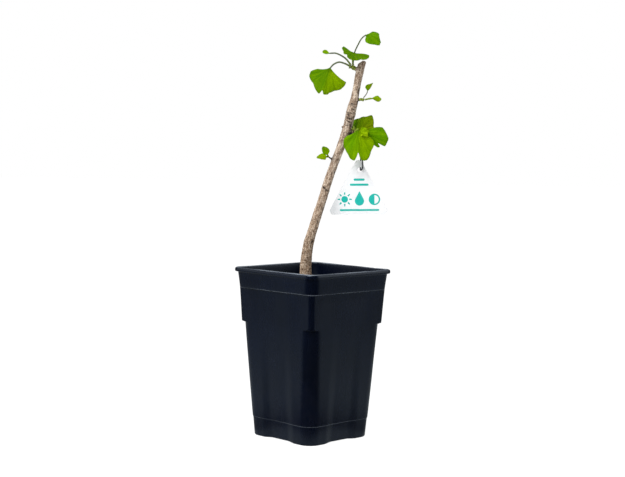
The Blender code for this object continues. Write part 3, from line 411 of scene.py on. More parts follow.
def grown_together(shells, voxel, smooth):
    """One closed skin round solids that overlap, all in plant mm: its points, normals and faces."""
    faces, count = [], 0
    for rings in shells:
        rows, columns = rings.shape[:2]
        faces += loft_faces(rows, columns, count)
        count += rows * columns
    blank = raw_mesh("skin", np.concatenate([rings.reshape(-1, 3) for rings in shells]), faces)
    face_out(blank)
    shape = put("skin", blank)
    remesh = shape.modifiers.new("remesh", "REMESH")
    remesh.mode = "VOXEL"
    remesh.voxel_size = voxel
    soften = shape.modifiers.new("soften", "SMOOTH")
    soften.factor = 0.5
    soften.iterations = smooth
    skin = baked(shape)
    points = np.empty(len(skin.vertices) * 3)
    normals = np.empty_like(points)
    skin.vertices.foreach_get("co", points)
    skin.vertices.foreach_get("normal", normals)
    return points.reshape(-1, 3), normals.reshape(-1, 3), [tuple(p.vertices) for p in skin.polygons]


def noise_at(points, octaves=3):
    """Fractal noise between about -1 and 1 at each row."""
    return np.array([noise.fractal(Vector(p), 1.0, 2.0, octaves) for p in points])


class Look:
    """The node tree of a material or a world, with short calls that add nodes and join them."""

    def __init__(self, name, block=None):
        self.block = block or bpy.data.materials.new(name)
        self.block.use_nodes = True
        self.tree = self.block.node_tree
        self.tree.nodes.clear()

    def add(self, kind, inputs=None, **settings):
        node = self.tree.nodes.new("ShaderNode" + kind)
        for key, value in settings.items():
            setattr(node, key, value)
        for key, value in (inputs or {}).items():
            self.feed(node.inputs[key], value)
        return node

    def feed(self, socket, value):
        if isinstance(value, bpy.types.NodeSocket):
            self.tree.links.new(value, socket)
        else:
            socket.default_value = value

    def place(self):
        return self.add("TexCoord").outputs["Object"]

    def height(self):
        return self.add("SeparateXYZ", {"Vector": self.place()}).outputs[2]

    def attribute(self, name, output="Vector"):
        return self.add("Attribute", attribute_name=name, attribute_type="GEOMETRY").outputs[output]

    def scaled(self, vector, scale, shift=(0, 0, 0)):
        return self.add("Mapping", {"Vector": vector, "Scale": scale, "Location": shift}).outputs[0]

    def noise(self, vector, scale, detail=2.0, roughness=0.5, distortion=0.0):
        return self.add("TexNoise", {"Vector": vector, "Scale": scale, "Detail": detail,
                                     "Roughness": roughness, "Distortion": distortion}).outputs[0]

    def ramp(self, value, *stops):
        node = self.add("ValToRGB", {"Fac": value})
        elements = node.color_ramp.elements
        while len(elements) < len(stops):
            elements.new(0.5)
        for element, (position, colour) in zip(elements, stops):
            element.position = position
            element.color = opaque((colour,) * 3 if isinstance(colour, (int, float)) else colour)
        return node.outputs[0]

    def span(self, value, start, end, at_start, at_end):
        """The value's run from start to end as a run between two others, held beyond its ends."""
        return self.add("MapRange", {"Value": value, 1: start, 2: end, 3: at_start, 4: at_end},
                        clamp=True).outputs[0]

    def math(self, operation, a, b=0.0, c=0.0, clamp=False):
        return self.add("Math", {0: a, 1: b, 2: c}, operation=operation, use_clamp=clamp).outputs[0]

    def times(self, a, b):
        return self.math("MULTIPLY", a, b)

    def mix(self, share, a, b):
        return self.add("Mix", {0: share, 6: opaque(a), 7: opaque(b)}, data_type="RGBA").outputs[2]

    def layers(self, colour, *rows):
        """A colour with others over it, each as strong as the ramp between two stops gives it."""
        for value, first, last, over in rows:
            colour = self.mix(self.ramp(value, first, last), colour, over)
        return colour

    def bump(self, height, distance, strength=1.0, under=None):
        inputs = {"Height": height, "Distance": distance, "Strength": strength}
        if under is not None:
            inputs["Normal"] = under
        return self.add("Bump", inputs).outputs[0]

    def principled(self, colour, roughness, normal=None, **extra):
        inputs = {"Base Color": opaque(colour), "Roughness": roughness}
        if normal is not None:
            inputs["Normal"] = normal
        inputs.update({key.replace("_", " "): value for key, value in extra.items()})
        return self.add("BsdfPrincipled", inputs).outputs[0]

    def light(self, kind, colour, strength):
        return self.add(kind, {"Color": opaque(colour), "Strength": strength}).outputs[0]

    def blend(self, share, first, second):
        return self.add("MixShader", {0: share, 1: first, 2: second}).outputs[0]

    def done(self, shader, kind="OutputMaterial"):
        self.add(kind, {"Surface": shader})
        return self.block


def opaque(colour):
    """A colour's three numbers with a full alpha; a socket stays as it is."""
    return colour if isinstance(colour, bpy.types.NodeSocket) else (*colour, 1.0)


# Materials

def pot_look():
    """Near-black navy moulded plastic: soft sheen, faint flow marks, painted highlight lines on the ledges
    and the lip, a little dust.
    """
    look = Look("pot_plastic")
    place, height = look.place(), look.height()
    flow = look.noise(look.scaled(place, (1, 1, 0.12)), 60, 3, 0.6)
    fine = look.noise(place, 1400, 2, 0.6)
    colour = look.ramp(look.noise(place, 22, 3, 0.55), (0.3, NAVY_DARK), (0.7, NAVY))
    dusty = look.ramp(look.noise(place, 160, 4, 0.7), (0.35, 0.0), (0.75, 0.14))
    low = look.span(height, 0.0, 0.10, 1.0, 0.15)
    colour = look.mix(look.times(dusty, low), colour, DUST)
    highlight_breakup = look.ramp(look.noise(place, 26, 2, 0.5), (0.38, 0.25), (0.62, 1.0))
    # painted highlight: thin pale lines along the ledges and the lip, broken up by noise
    for level, half, strength in LEDGE_HIGHLIGHTS:
        near = look.times(look.math("COMPARE", height, level, half), strength)
        colour = look.mix(look.times(near, highlight_breakup), colour, PAINTED_HIGHLIGHT)
    normal = look.bump(flow, 0.0005, 0.12, look.bump(fine, 0.00002, 0.15))
    return look.done(look.principled(colour, look.ramp(flow, (0.3, 0.23), (0.7, 0.31)), normal,
                                     Specular_IOR_Level=0.42, Specular_Tint=(0.72, 0.86, 1.0, 1.0)))


def mix_look(name, low, high, rough=0.95):
    """Crumbly matt stuff with two tones."""
    look = Look(name)
    place = look.place()
    patch = look.noise(place, 380, 5, 0.7)
    grit = look.noise(place, 2600, 3, 0.7)
    colour = look.layers(look.ramp(patch, (0.32, low), (0.68, high)),
                         (grit, (0.62, 0.0), (0.75, 0.5), tuple(min(1, 2.2 * c) for c in high)))
    normal = look.bump(grit, 0.0004, 0.8, look.bump(patch, 0.001, 0.6))
    return look.done(look.principled(colour, rough, normal, Specular_IOR_Level=0.25))


def bark_look():
    """Thin tan bark with grey bloom, fine lengthwise fissures, cork specks, dark scars and painted shade in
    the wrinkle valleys.
    """
    look = Look("bark")
    grain = look.attribute("grain")
    old = look.span(look.height(), 0.240, 0.165, 0.0, 1.0)
    patches = look.noise(look.scaled(grain, (1, 1, 0.30)), 0.50, 4, 0.65)
    mottle = look.noise(look.scaled(grain, (1, 1, 0.55)), 1.25, 3, 0.6)
    colour = look.layers(look.mix(old, look.ramp(patches, *YOUNG_BARK), look.ramp(patches, *AGED_BARK)),
                         (mottle, (0.36, 0.72), (0.50, 0.0), BARK_SHADE),
                         (mottle, (0.54, 0.0), (0.66, 0.60), BARK_BLOOM))
    fissure = look.noise(look.scaled(grain, (1, 1, 0.12)), 1.5, 4, 0.65, 0.4)
    cracks = look.times(look.ramp(fissure, (0.34, 0.85), (0.46, 0.0)),
                        look.math("MULTIPLY_ADD", old, 0.45, 0.5))
    colour = look.mix(cracks, colour, CRACK)
    for stretch, shift, size, stops, growth, tint in SPECKS:
        cells = look.add("TexVoronoi", {"Vector": look.scaled(grain, stretch, shift), "Scale": size,
                                        "Randomness": 1.0}).outputs["Distance"]
        spots = look.times(look.ramp(cells, *stops), look.math("MULTIPLY_ADD", old, *growth))
        colour = look.mix(spots, colour, tint)
    ragged = look.ramp(look.noise(grain, 1.6, 3, 0.6), (0.25, 0.7), (0.6, 1.15))
    # stains of the scars and spur tips, together with painted shade in the wrinkle valleys
    stained_and_fold_shaded = look.math("MULTIPLY", look.attribute("stain_and_fold_shade", "Fac"), ragged, clamp=True)
    colour = look.mix(stained_and_fold_shaded, colour, STAIN_AND_FOLD_SHADE)
    rings = look.add("TexWave", {"Vector": grain, "Scale": 0.28, "Distortion": 2.5, "Detail": 2.0,
                                 "Detail Scale": 1.5}, wave_type="RINGS").outputs[1]
    end_grain = look.layers(WOOD_PALE, (rings, (0.2, 0.0), (0.8, 0.6), WOOD_RING))
    colour = look.mix(look.attribute("cut", "Fac"), colour, end_grain)
    fine = look.noise(look.scaled(grain, (1, 1, 0.35)), 5.5, 4, 0.7)
    normal = look.bump(mottle, 0.0005, 0.6, look.bump(fissure, 0.0005, 0.8, look.bump(fine, 0.00012, 0.6)))
    return look.done(look.principled(colour, look.ramp(fine, (0.3, 0.62), (0.7, 0.85)), normal,
                                     Specular_IOR_Level=0.25))


def leaf_look(name, left, right, petiole):
    """A thin green blade with fine forking veins; light comes through it."""
    look = Look(name)
    split = look.add("SeparateXYZ", {"Vector": look.attribute("veins")})
    bearing, share = split.outputs[0], split.outputs[1]
    place = look.place()
    rays = look.add("CombineXYZ", {0: look.times(bearing, 9.0), 1: look.times(share, 0.9)}).outputs[0]
    broad = look.noise(rays, 1.0, 2, 0.5)
    thin = look.add("CombineXYZ", {0: look.times(bearing, 34.0), 1: share}).outputs[0]
    streaks = look.noise(thin, 1.0, 3, 0.6)
    wedge = look.math("ABSOLUTE", look.math("SUBTRACT", bearing, WEDGE_BEARING))
    vein = look.math("SINE", look.times(bearing, 260.0))
    colour = look.layers(
        # one half of the blade to the other: painted shade on a half in the shade green, painted light on a
        # half in GREEN_BRIGHT
        look.mix(look.span(bearing, -0.40, 0.40, 1.0, 0.0), left, right),
        (broad, (0.36, 0.36), (0.56, 0.0), GREEN_DEEP), (broad, (0.50, 0.0), (0.68, 0.45), GREEN_BRIGHT),
        (streaks, (0.34, 0.20), (0.58, 0.0), GREEN_DEEP), (streaks, (0.54, 0.0), (0.74, 0.30), GREEN_YOUNG),
        (wedge, (0.02, WEDGES.get(name, 0.0)), (0.13, 0.0), GREEN_DEEP),
        (look.noise(place, 150, 3, 0.5), (0.36, 0.22), (0.6, 0.0), GREEN_DEEP),
        (vein, (0.5, 0.0), (1.0, 0.12), GREEN_YOUNG), (share, (0.90, 0.0), (1.0, 0.45), GREEN_RIM),
        (share, (0.0, 0.7), (0.24, 0.0), GREEN_FOOT))
    stalk = look.layers(
        petiole, (look.noise(place, 700, 3, 0.6), (0.35, 0.12), (0.6, 0.0), tuple(0.6 * c for c in petiole)),
        (look.math("ADD", share, 1.0), (0.0, 0.8), (0.30, 0.0), STALK_YOUNG))
    colour = look.layers(colour, (look.math("ADD", share, 0.5), (0.42, 1.0), (0.55, 0.0), stalk))
    normal = look.bump(vein, 0.00003, 0.5, look.bump(streaks, 0.00025, 0.5))
    face = look.principled(colour, 0.5, normal, IOR=1.15, Specular_Tint=(0.45, 0.8, 0.1, 1.0))
    glow = look.add("BsdfTranslucent", {"Color": look.mix(0.3, colour, GREEN_YOUNG), "Normal": normal})
    return look.done(look.blend(0.30, face, glow.outputs[0]))


def shoot_look():
    """Soft green growth with browner bud scales."""
    look = Look("shoot_green")
    place = look.place()
    colour = look.ramp(look.noise(place, 420, 3, 0.6), *SHOOT_TONES)
    normal = look.bump(look.noise(place, 2200, 3, 0.6), 0.00015, 0.5)
    return look.done(look.principled(colour, 0.5, normal, Specular_IOR_Level=0.35))


def tag_look(name, colour, roughness):
    """Smooth plastic or ink with faint clouds and scuffs."""
    look = Look(name)
    place = look.place()
    cloud = look.noise(place, 40, 3, 0.5)
    tone = look.layers(colour, (cloud, (0.4, 0.0), (0.7, 0.35), tuple(0.93 * c for c in colour)))
    scuffs = look.noise(look.scaled(place, (1, 1, 6)), 220, 4, 0.7)
    rough = look.ramp(scuffs, (0.35, roughness), (0.7, roughness + 0.12))
    return look.done(look.principled(tone, rough, look.bump(cloud, 0.0003, 0.2), Specular_IOR_Level=0.4))


def wire_look():
    """Dull steel wire, stained brown where it goes round the bark."""
    look = Look("wire_steel")
    dull = look.noise(look.place(), 900, 4, 0.7)
    upper = look.span(look.height(), 0.264, 0.271, 0.0, 0.9)
    colour = look.mix(upper, look.ramp(dull, (0.3, STEEL_DARK), (0.7, STEEL)), WIRE_STAIN)
    rough = look.ramp(dull, (0.3, 0.5), (0.7, 0.3))
    return look.done(look.principled(colour, rough, look.bump(dull, 0.0001, 0.4), Metallic=0.9))


def floor_look():
    """A white sheet lit from below; glossy rays see a painted reflection on it, dark in front of the pot and
    paler at both sides.
    """
    look = Look("floor_white")
    grain = look.noise(look.place(), 6, 2, 0.5)
    sheet = look.principled(look.ramp(grain, (0.3, 0.80), (0.7, 0.82)), 1.0, Specular_IOR_Level=0.0)
    lit = look.blend(FLOOR_LIT, sheet, look.light("Emission", (1, 1, 1), FLOOR_GLOW))
    place = look.place()
    toward = look.add("VectorMath", {0: place, 1: (math.sin(AZIMUTH), -math.cos(AZIMUTH), 0)},
                      operation="DOT_PRODUCT").outputs["Value"]
    away = look.add("VectorMath", {0: place}, operation="LENGTH").outputs["Value"]
    # painted reflection for glossy rays: paler beside the pot than in front of it, falling with distance, dim
    # next to the foot as a painted shadow, with a pale band right at the foot
    beside = look.span(look.math("DIVIDE", toward, away), 0.60, 0.15, 0.06, 1.0)
    falling = look.times(look.span(away, 0.10, 0.70, 0.50, 0.14), look.span(away, 0.07, 0.17, 0.35, 1.0))
    foot = look.span(away, 0.055, 0.075, 0.40, 0.0)
    strength = look.math("MAXIMUM", look.times(beside, falling), foot)
    mirrored = look.light("Emission", FLOOR_PAINTED_REFLECTION, strength)
    rays = look.add("LightPath").outputs
    shown = look.blend(rays["Is Camera Ray"], sheet, lit)
    return look.done(look.blend(rays["Is Glossy Ray"], shown, mirrored))


# Trunk

def root_stations():
    """Each main root as three places with a radius: on the trunk, at its bend and at its tip."""
    runs = []
    for heading, reach, tip_height, radius in ROOTS:
        turn = math.radians(heading)
        way = np.array((reach * math.cos(turn), reach * math.sin(turn), 0))
        foot = np.array((TRUNK_FOOT, 0, 0))
        places = (foot + (0, 0, ROOT_TOP), foot + way * ROOT_MIDDLE + (0, 0, ROOT_BEND),
                  foot + way + (0, 0, tip_height))
        runs.append([(*place, radius * share) for place, share in zip(places, ROOT_TAPER)])
    return runs


def trunk_spine(steps):
    """The trunk's middle line as smooth rows of place and radius."""
    return smooth_path([(along, across, height, width / 2) for height, along, across, width in TRUNK], steps)


def trunk_shells():
    """The trunk, its roots and its spurs as overlapping tubes."""
    spine = trunk_spine(4)
    beyond = (spine[:, :3] - CUT_PLACE) @ CUT_NORMAL
    rings = tube(spine, 40)
    # the rings near the top are pushed back onto the sloping cut
    ways = unit(np.gradient(spine[:, :3], axis=0))
    for place, normal in ((CUT_PLACE, CUT_NORMAL), (TIP_PLACE, TIP_NORMAL)):
        over = np.maximum((rings - place) @ normal, 0)
        rings = rings - ways[:, None] * (over / (ways @ normal)[:, None])[..., None]
    shells = [rings[beyond <= BEYOND_CUT]]
    shells += [tube(smooth_path(run, 4), 16) for run in root_stations()]
    shells += [tube(smooth_path(spur, 4), 20, domed=True) for spur in SPURS]
    return shells


def along_spine(points, block=20000):
    """Each point's height on the trunk's middle line, its bearing, the radius there and its distance."""
    spine = trunk_spine(6)
    path, radii = spine[:, :3], spine[:, 3]
    ways = unit(np.gradient(path, axis=0))
    nearest = np.concatenate([np.linalg.norm(points[first:first + block, None] - path, axis=2).argmin(1)
                              for first in range(0, len(points), block)])
    way = ways[nearest]
    offset = points - path[nearest]
    run = (offset * way).sum(1)
    radial = offset - way * run[:, None]
    toward = unit(np.array((0.0, -1.0, 0.0)) + way * way[:, 1:2])
    right = np.cross(toward, way)
    right = right * np.sign(right[:, :1])
    bearing = np.arctan2((radial * right).sum(1), (radial * toward).sum(1))
    return path[nearest, 2] + run, bearing, radii[nearest], np.linalg.norm(radial, axis=1)


def make_trunk(look):
    """All the wood as one skin, with bark ridges, node rings, scars and a sawn end."""
    points, normals, faces = grown_together(trunk_shells(), TRUNK_VOXEL, 3)
    height, bearing, radius, away = along_spine(points)
    over_soil = smoothstep(height, SOIL_TOP, SOIL_TOP + 4)
    end = (points - CUT_PLACE) @ CUT_NORMAL
    on_cut = smoothstep(normals @ CUT_NORMAL, 0.55, 0.85) * smoothstep(end, -1.6, -0.5)
    stem = 1 - smoothstep(away - radius, 0.5, 1.6)

    round_place = np.stack((np.cos(bearing) * radius, np.sin(bearing) * radius, height), 1)
    grain = round_place * stem[:, None] + points * (1 - stem[:, None])
    ridges = noise_at(grain * (0.75, 0.75, 0.13))
    rough = noise_at(grain * (1.9, 1.9, 0.8) + 31.0)
    lumps = noise_at(grain * (0.25, 0.25, 0.12) + 77.0, 2)
    old = 1 - smoothstep(height, 150, 250)
    shift = ridges * (0.16 + 0.20 * old) + rough * (0.12 + 0.14 * old) + lumps * 0.24 - 0.12

    stain_and_fold_shade = np.zeros(len(points))
    for place, bulge, width, lean, depth in NODES:
        run = height - place - lean * radius * np.sin(bearing)
        near = np.exp(-(run / width) ** 2) * stem
        shift += bulge * near
        fold = 0.5 + 0.5 * np.cos(run * 2.5 + 3.0 * ridges + 2.6 * rough)
        shift -= 1.3 * depth * near * fold
        # painted shade: the wrinkle valleys are darkened
        stain_and_fold_shade += 2.6 * depth * near * smoothstep(fold, 0.45, 0.95)
    for place, turn, tall, wide, depth, dark in SCARS:
        apart = (bearing - math.radians(turn) + math.pi) % math.tau - math.pi
        spot = np.exp(-((height - place) / tall) ** 2 - (apart * radius / wide) ** 2)
        shift -= depth * spot
        stain_and_fold_shade += dark * smoothstep(spot + 0.25 * ridges * spot, 0.25, 0.7)
    for spur, (reach, dark) in zip(SPURS, SPUR_STAINS):
        gap = np.linalg.norm(points - np.array(spur[-1][:3]), axis=1)
        stain_and_fold_shade += dark * np.exp(-(gap / reach) ** 2)
    rim_dark = smoothstep(end, -2.6, -0.6) * (1 - on_cut)
    stain_and_fold_shade = np.clip(stain_and_fold_shade + 0.55 * rim_dark * (0.5 + rough), 0, 1)

    shift *= over_soil * (1 - 0.8 * on_cut)
    shift += 0.10 * on_cut * np.sin(points[:, 0] * 5.0 + points[:, 1] * 2.0)
    points = points + normals * shift[:, None]
    return mesh_piece("trunk_bark", to_world(points), faces, [look], ["trunk"],
                      attributes={"grain": grain, "stain_and_fold_shade": stain_and_fold_shade * (1 - on_cut), "cut": on_cut})


def make_shoot(name, look):
    """A green shoot with the cupped scales of its opened bud."""
    shells = [tube(smooth_path(SHOOTS[name], 4), 24, domed=True)]
    root = np.array(SHOOTS[name][len(SHOOTS[name]) // 2][:3])
    for heading, length in SCALES[name]:
        way = unit(heading)
        bend = unit(np.cross(way, (0.3, -1.0, 0.2)))
        wide = SCALE_HALF if length < LONG_SCALE else LONG_HALF
        run = []
        for t in np.linspace(0, 1, 7):
            curve = root + way * length * t + bend * 0.25 * math.sin(t * math.pi)
            run.append((*curve, wide * math.sqrt(max(1 - t ** 2.2, 0.02))))
        shells.append(tube(run, 20, bend, flat=0.45))
    points, normals, faces = grown_together(shells, SHOOT_VOXEL, 2)
    points = points + normals * (0.07 * noise_at(points * 1.3))[:, None]
    return mesh_piece(name + "_bud", to_world(points), faces, [look], [name])


# Leaves

def leaf_directions(leaf):
    """The blade's way out, its upper side and the way across it, square to each other."""
    heading = unit(leaf["heading"])
    facing = unit(leaf["facing"])
    facing = unit(facing - heading * facing.dot(heading))
    return heading, facing, np.cross(heading, facing)


def bend_along(across, height, degrees, size):
    """A flat width and height bent round a cylinder, by so many degrees over the size."""
    bend = size / math.radians(degrees)
    turned = across / bend
    return (bend + height) * np.sin(turned), height * np.cos(turned) - bend * (1 - np.cos(turned))


def blade_surface(leaf, angles, reaches, shares, relief):
    """The blade's middle surface, a row of points for each bearing, in plant mm."""
    heading, facing, side = leaf_directions(leaf)
    size = leaf["size"]
    radius = reaches[:, None] * shares[None]
    bearing = np.radians(angles[:, None] * (1 - leaf["pinch"] * (1 - shares[None])))
    x, y = radius * np.sin(bearing), radius * np.cos(bearing)
    fold = np.radians(np.where(x > 0, *leaf["fold"]))
    soft = 0.04 * size
    away = np.sqrt(x * x + soft * soft) - soft
    height = -away * np.sin(fold)
    x = np.copysign(np.abs(x) - away * (1 - np.cos(fold)), x)
    if leaf["roll"]:
        x, height = bend_along(x, height, leaf["roll"], size)
    depth, count, phase = leaf["wave"]
    height = height + depth * (radius / size) ** 2 * np.sin(np.radians(count * angles[:, None] + phase))
    height = height + relief
    if leaf["droop"]:
        y, height = bend_along(y, height, leaf["droop"], size)
    return (np.array(leaf["base"], float) + heading * y[..., None] + facing * height[..., None]
            + side * x[..., None])


def blade_outline(leaf, columns, seed):
    """The blade's bearings and its reach at each, with a soft uneven edge."""
    rim = sorted(leaf["rim"])
    angles = np.linspace(rim[0][0], rim[-1][0], columns)
    reaches = np.interp(angles, *zip(*rim))
    reaches = np.convolve(np.pad(reaches, 2, mode="edge"), (0.1, 0.2, 0.4, 0.2, 0.1), mode="valid")
    wobble = noise_at(np.stack((angles * 0.30, np.full(columns, seed * 3.1), np.zeros(columns)), 1), 3)
    return angles[::-1], (reaches * (1 + RIM_WOBBLE * wobble))[::-1]


def blade_rings(leaf, angles, reaches, shares, seed):
    """Rings round the blade, front and back, from its base to its rim."""
    small = leaf["size"] < SMALL_LEAF
    place = np.stack(np.broadcast_arrays(angles[:, None] * 0.07, shares[None] * 1.2, seed * 5.3), -1)
    pleats = noise_at(place.reshape(-1, 3), 2).reshape(len(angles), len(shares))
    vein = np.cos(np.radians(angles * 72 / max(np.ptp(angles) / 5, 1)))[:, None]
    strength = (leaf["size"] / 24) * 0.75
    relief = shares[None] ** 1.3 * strength * pleats
    relief = relief + (0.02 if small else 0.045) * vein * np.minimum(1, 2 * shares[None])
    middle = blade_surface(leaf, angles, reaches, shares, relief)
    normals = unit(np.cross(np.gradient(middle, axis=0), np.gradient(middle, axis=1)))
    if normals.mean((0, 1)) @ leaf_directions(leaf)[1] < 0:
        normals = -normals
    body = SMALL_THICKNESS if small else BLADE_THICKNESS
    thick = body * (1 - 0.45 * smoothstep(shares, 0.0, 0.5))[None] * np.ones((len(angles), 1))
    thick = thick + 0.9 * (leaf["petiole_radius"][1]) * (1 - smoothstep(shares, 0.0, 0.20))[None]
    thick[:, -1] *= 0.45
    thick[[0, -1]] *= 0.5
    half = normals * thick[..., None] / 2
    return np.concatenate((middle + half, (middle - half)[::-1]), 0).transpose(1, 0, 2)


def petiole_rings(leaf, columns):
    """Rings round the petiole, with the same number of points as the blade's."""
    heading, facing, side = leaf_directions(leaf)
    base = np.array(leaf["base"], float)
    stalk = np.array([*leaf["petiole"], tuple(base)], float)
    path = smooth_path(stalk, 5 if len(stalk) > 2 else 6)[:-1]
    path = np.concatenate((path, [base - heading * 0.25]), 0)
    sides = frames_along(path[::-1], side)[0][::-1]
    ups = np.cross(unit(np.gradient(path, axis=0)), sides)
    if ups[-1] @ facing < 0:
        ups = -ups
    start, end = leaf["petiole_radius"]
    t = np.linspace(0, 1, len(path))
    radii = 1.12 * (start + (end - start) * t) + 0.35 * start * np.exp(-(t / 0.06) ** 2)
    turns = math.pi * (np.arange(columns) + 0.5) / columns
    turns = np.concatenate((turns, turns + math.pi))[None, :, None]
    circle = np.cos(turns) * sides[:, None] + np.sin(turns) * ups[:, None]
    return path[:, None] + radii[:, None, None] * circle


def make_leaf(name, leaf, look, seed):
    """Petiole and blade as one closed skin: rings round the petiole open out into the blade."""
    leaf = {**FLAT_LEAF, **leaf}
    columns, rows = (71, 16) if leaf["size"] < SMALL_LEAF else (141, 34)
    angles, reaches = blade_outline(leaf, columns, seed)
    shares = BLADE_START + (1 - BLADE_START) * np.linspace(0, 1, rows) ** 1.1
    stem = petiole_rings(leaf, columns)
    rings = np.concatenate((stem, blade_rings(leaf, angles, reaches, shares, seed)), 0)
    count = 2 * columns
    faces = loft_faces(len(rings), count, capped=False)
    last = (len(rings) - 1) * count
    for column in range(columns - 1):
        other = last + count - 1 - column
        faces.append((last + column, last + column + 1, other - 1, other))
    bearings = np.concatenate((angles, angles[::-1])) / 100
    along = np.concatenate((np.linspace(-1, -0.02, len(stem)), shares))
    veins = np.stack(np.broadcast_arrays(bearings[None], along[:, None], 0.0), -1).reshape(-1, 3)
    return mesh_piece(name + "_blade", to_world(rings.reshape(-1, 3)), faces, [look], [name],
                      sharp=75, attributes={"veins": veins})


# Pot

POT_HEIGHT = 153.5
SKIRT_TOP, STEP, BAND_FOOT = 17.0, 104.4, 135.4
WALL_HALVES = (40.7, 46.3, 48.0)          # the wall's outer half width at those heights
WALL = 1.2
FLOOR_LIFT = 3.0
PANEL_TOP, PANEL_DEPTH, PANEL_SLOPE = 112.0, 1.5, (9.5, 20.5)
PANEL_TRACE = (108, 0.06)                # its height and depth over the step, where it fades out
WIDE, TIGHT, BAND, LIP, FOOT = 12.0, 4.5, 10.0, 8.5, 3.0          # corner radii
CORNER_STEPS = 12
DRAIN_RADIUS, DRAIN_SPACING = 4.5, 17
# Nicks in the far rim: place along it, half width, share of the depth
NICKS = [(29, 1.3, 1.0), (24.6, 0.9, 0.6)]


def panel_depth(height):
    """How far a face's middle is sunk at a height."""
    return PANEL_DEPTH * max(0.0, 1 - height / PANEL_TOP)


def square_loop(half, corner, height, panel=0.0, lift=0.0):
    """Points round the pot at one height, in mm."""
    flat = half - corner
    inner, outer = PANEL_SLOPE[0] - 0.1, PANEL_SLOPE[1] + 0.1
    slope = np.linspace(-outer, -inner, 14)
    left = np.linspace(-flat, -outer, 8)[:-1]
    centre = np.linspace(-inner, inner, 12)[1:-1]
    ys = np.concatenate((left, slope, centre, -slope[::-1], -left[::-1]))
    share = 1 - smoothstep(np.abs(ys), *PANEL_SLOPE)
    side = np.stack((half - panel * share, ys, height + lift * share), 1)
    turn = np.linspace(0, math.pi / 2, CORNER_STEPS + 1)[1:-1]
    bend = np.stack((flat + corner * np.cos(turn), flat + corner * np.sin(turn), 0 * turn + height), 1)
    quarter = np.concatenate((side, bend))
    loops = []
    for _ in range(4):
        loops.append(quarter)
        quarter = np.stack((-quarter[:, 1], quarter[:, 0], quarter[:, 2]), 1)
    return np.concatenate(loops)


def rounded(profile, steps=3):
    """The profile with its corners eased: each row is height, half, corner, panel, lift, radius."""
    rows = []
    profile = [np.array(row, float) for row in profile]
    for index, row in enumerate(profile):
        radius = row[5]
        if radius == 0 or index in (0, len(profile) - 1):
            rows.append(row[:5])
            continue
        ends = []
        for other in (profile[index - 1], profile[index + 1]):
            apart = math.hypot(other[0] - row[0], other[1] - row[1])
            ends.append(row[:5] + (other[:5] - row[:5]) * min(radius / apart, 0.45))
        for t in np.linspace(0, 1, steps + 1):
            rows.append((1 - t) ** 2 * ends[0] + 2 * t * (1 - t) * row[:5] + t ** 2 * ends[1])
    return rows


def wall_half(height):
    """The wall's outer half width at a height."""
    return np.interp(height, (SKIRT_TOP, STEP, BAND_FOOT), WALL_HALVES)


def wall_rows(heights, corner, inset=0.0, ease=0.0):
    """Profile rows down or up the wall, set in from its outer face."""
    return [(height, wall_half(height) - inset, corner, panel_depth(height), 0, ease) for height in heights]


def pot_profile():
    """The shell's section from under the floor, up the outside, over the lip and down the inside."""
    outside = [
        (FLOOR_LIFT, 28.7, FOOT, 0, 0, 0), (0.0, 30.2, FOOT, 0, 0, 0.5),
        (0.0, 39.2, WIDE, panel_depth(0), 0.8, 1.3), (SKIRT_TOP, 40.35, WIDE, panel_depth(SKIRT_TOP), 0, 0.3),
        (17.3, 40.65, WIDE, panel_depth(17.3), 0, 0.25)]
    outside += wall_rows(range(24, 97, 8), WIDE) + wall_rows([STEP - 0.7], WIDE, ease=0.35)
    trace_height, trace_depth = PANEL_TRACE
    outside += wall_rows([STEP], TIGHT, ease=0.35)
    outside += [(trace_height, wall_half(trace_height), TIGHT, trace_depth, 0, 0)]
    outside += wall_rows((112, 119, 127), TIGHT)
    outside += [(134.9, 48.0, TIGHT, 0, 0, 0.3), (135.3, 49.6, BAND, 0, 0, 0.45), (142, 50.2, BAND, 0, 0, 0),
                (149.4, 50.95, BAND, 0, 0, 0.4)]
    lip = [(149.7, 52.2, LIP, 0, 0, 0.45), (150.4, 52.5, LIP, 0, 0, 0.4), (152.4, 52.5, LIP, 0, 0, 0.8),
           (POT_HEIGHT, 51.7, 8.8, 0, 0, 0.7), (POT_HEIGHT, 50.6, 9.6, 0, 0, 0.5),
           (152.5, 49.8, 9.0, 0, 0, 0.5), (149.5, 49.75, 8.8, 0, 0, 0)]
    tight, wide = TIGHT - WALL, WIDE - WALL
    inside = [(142, 49.0, 8.8, 0, 0, 0), (136.6, 48.4, 8.8, 0, 0, 0.4), (136.0, 46.8, tight, 0, 0, 0.4)]
    inside += wall_rows((127, 119, 112), tight, WALL) + wall_rows([STEP + WALL], tight, WALL, 0.3)
    inside += wall_rows([STEP + WALL / 2], wide, WALL, 0.3) + wall_rows((96, 80, 64, 48, 32, 17), wide, WALL)
    inside += [(WALL, 38.0, wide, panel_depth(WALL), 0, 0.5), (WALL, 29.0, FOOT, 0, 0, 0.4),
               (FLOOR_LIFT + WALL, 27.5, FOOT, 0, 0, 0)]
    return rounded(outside + lip + inside)


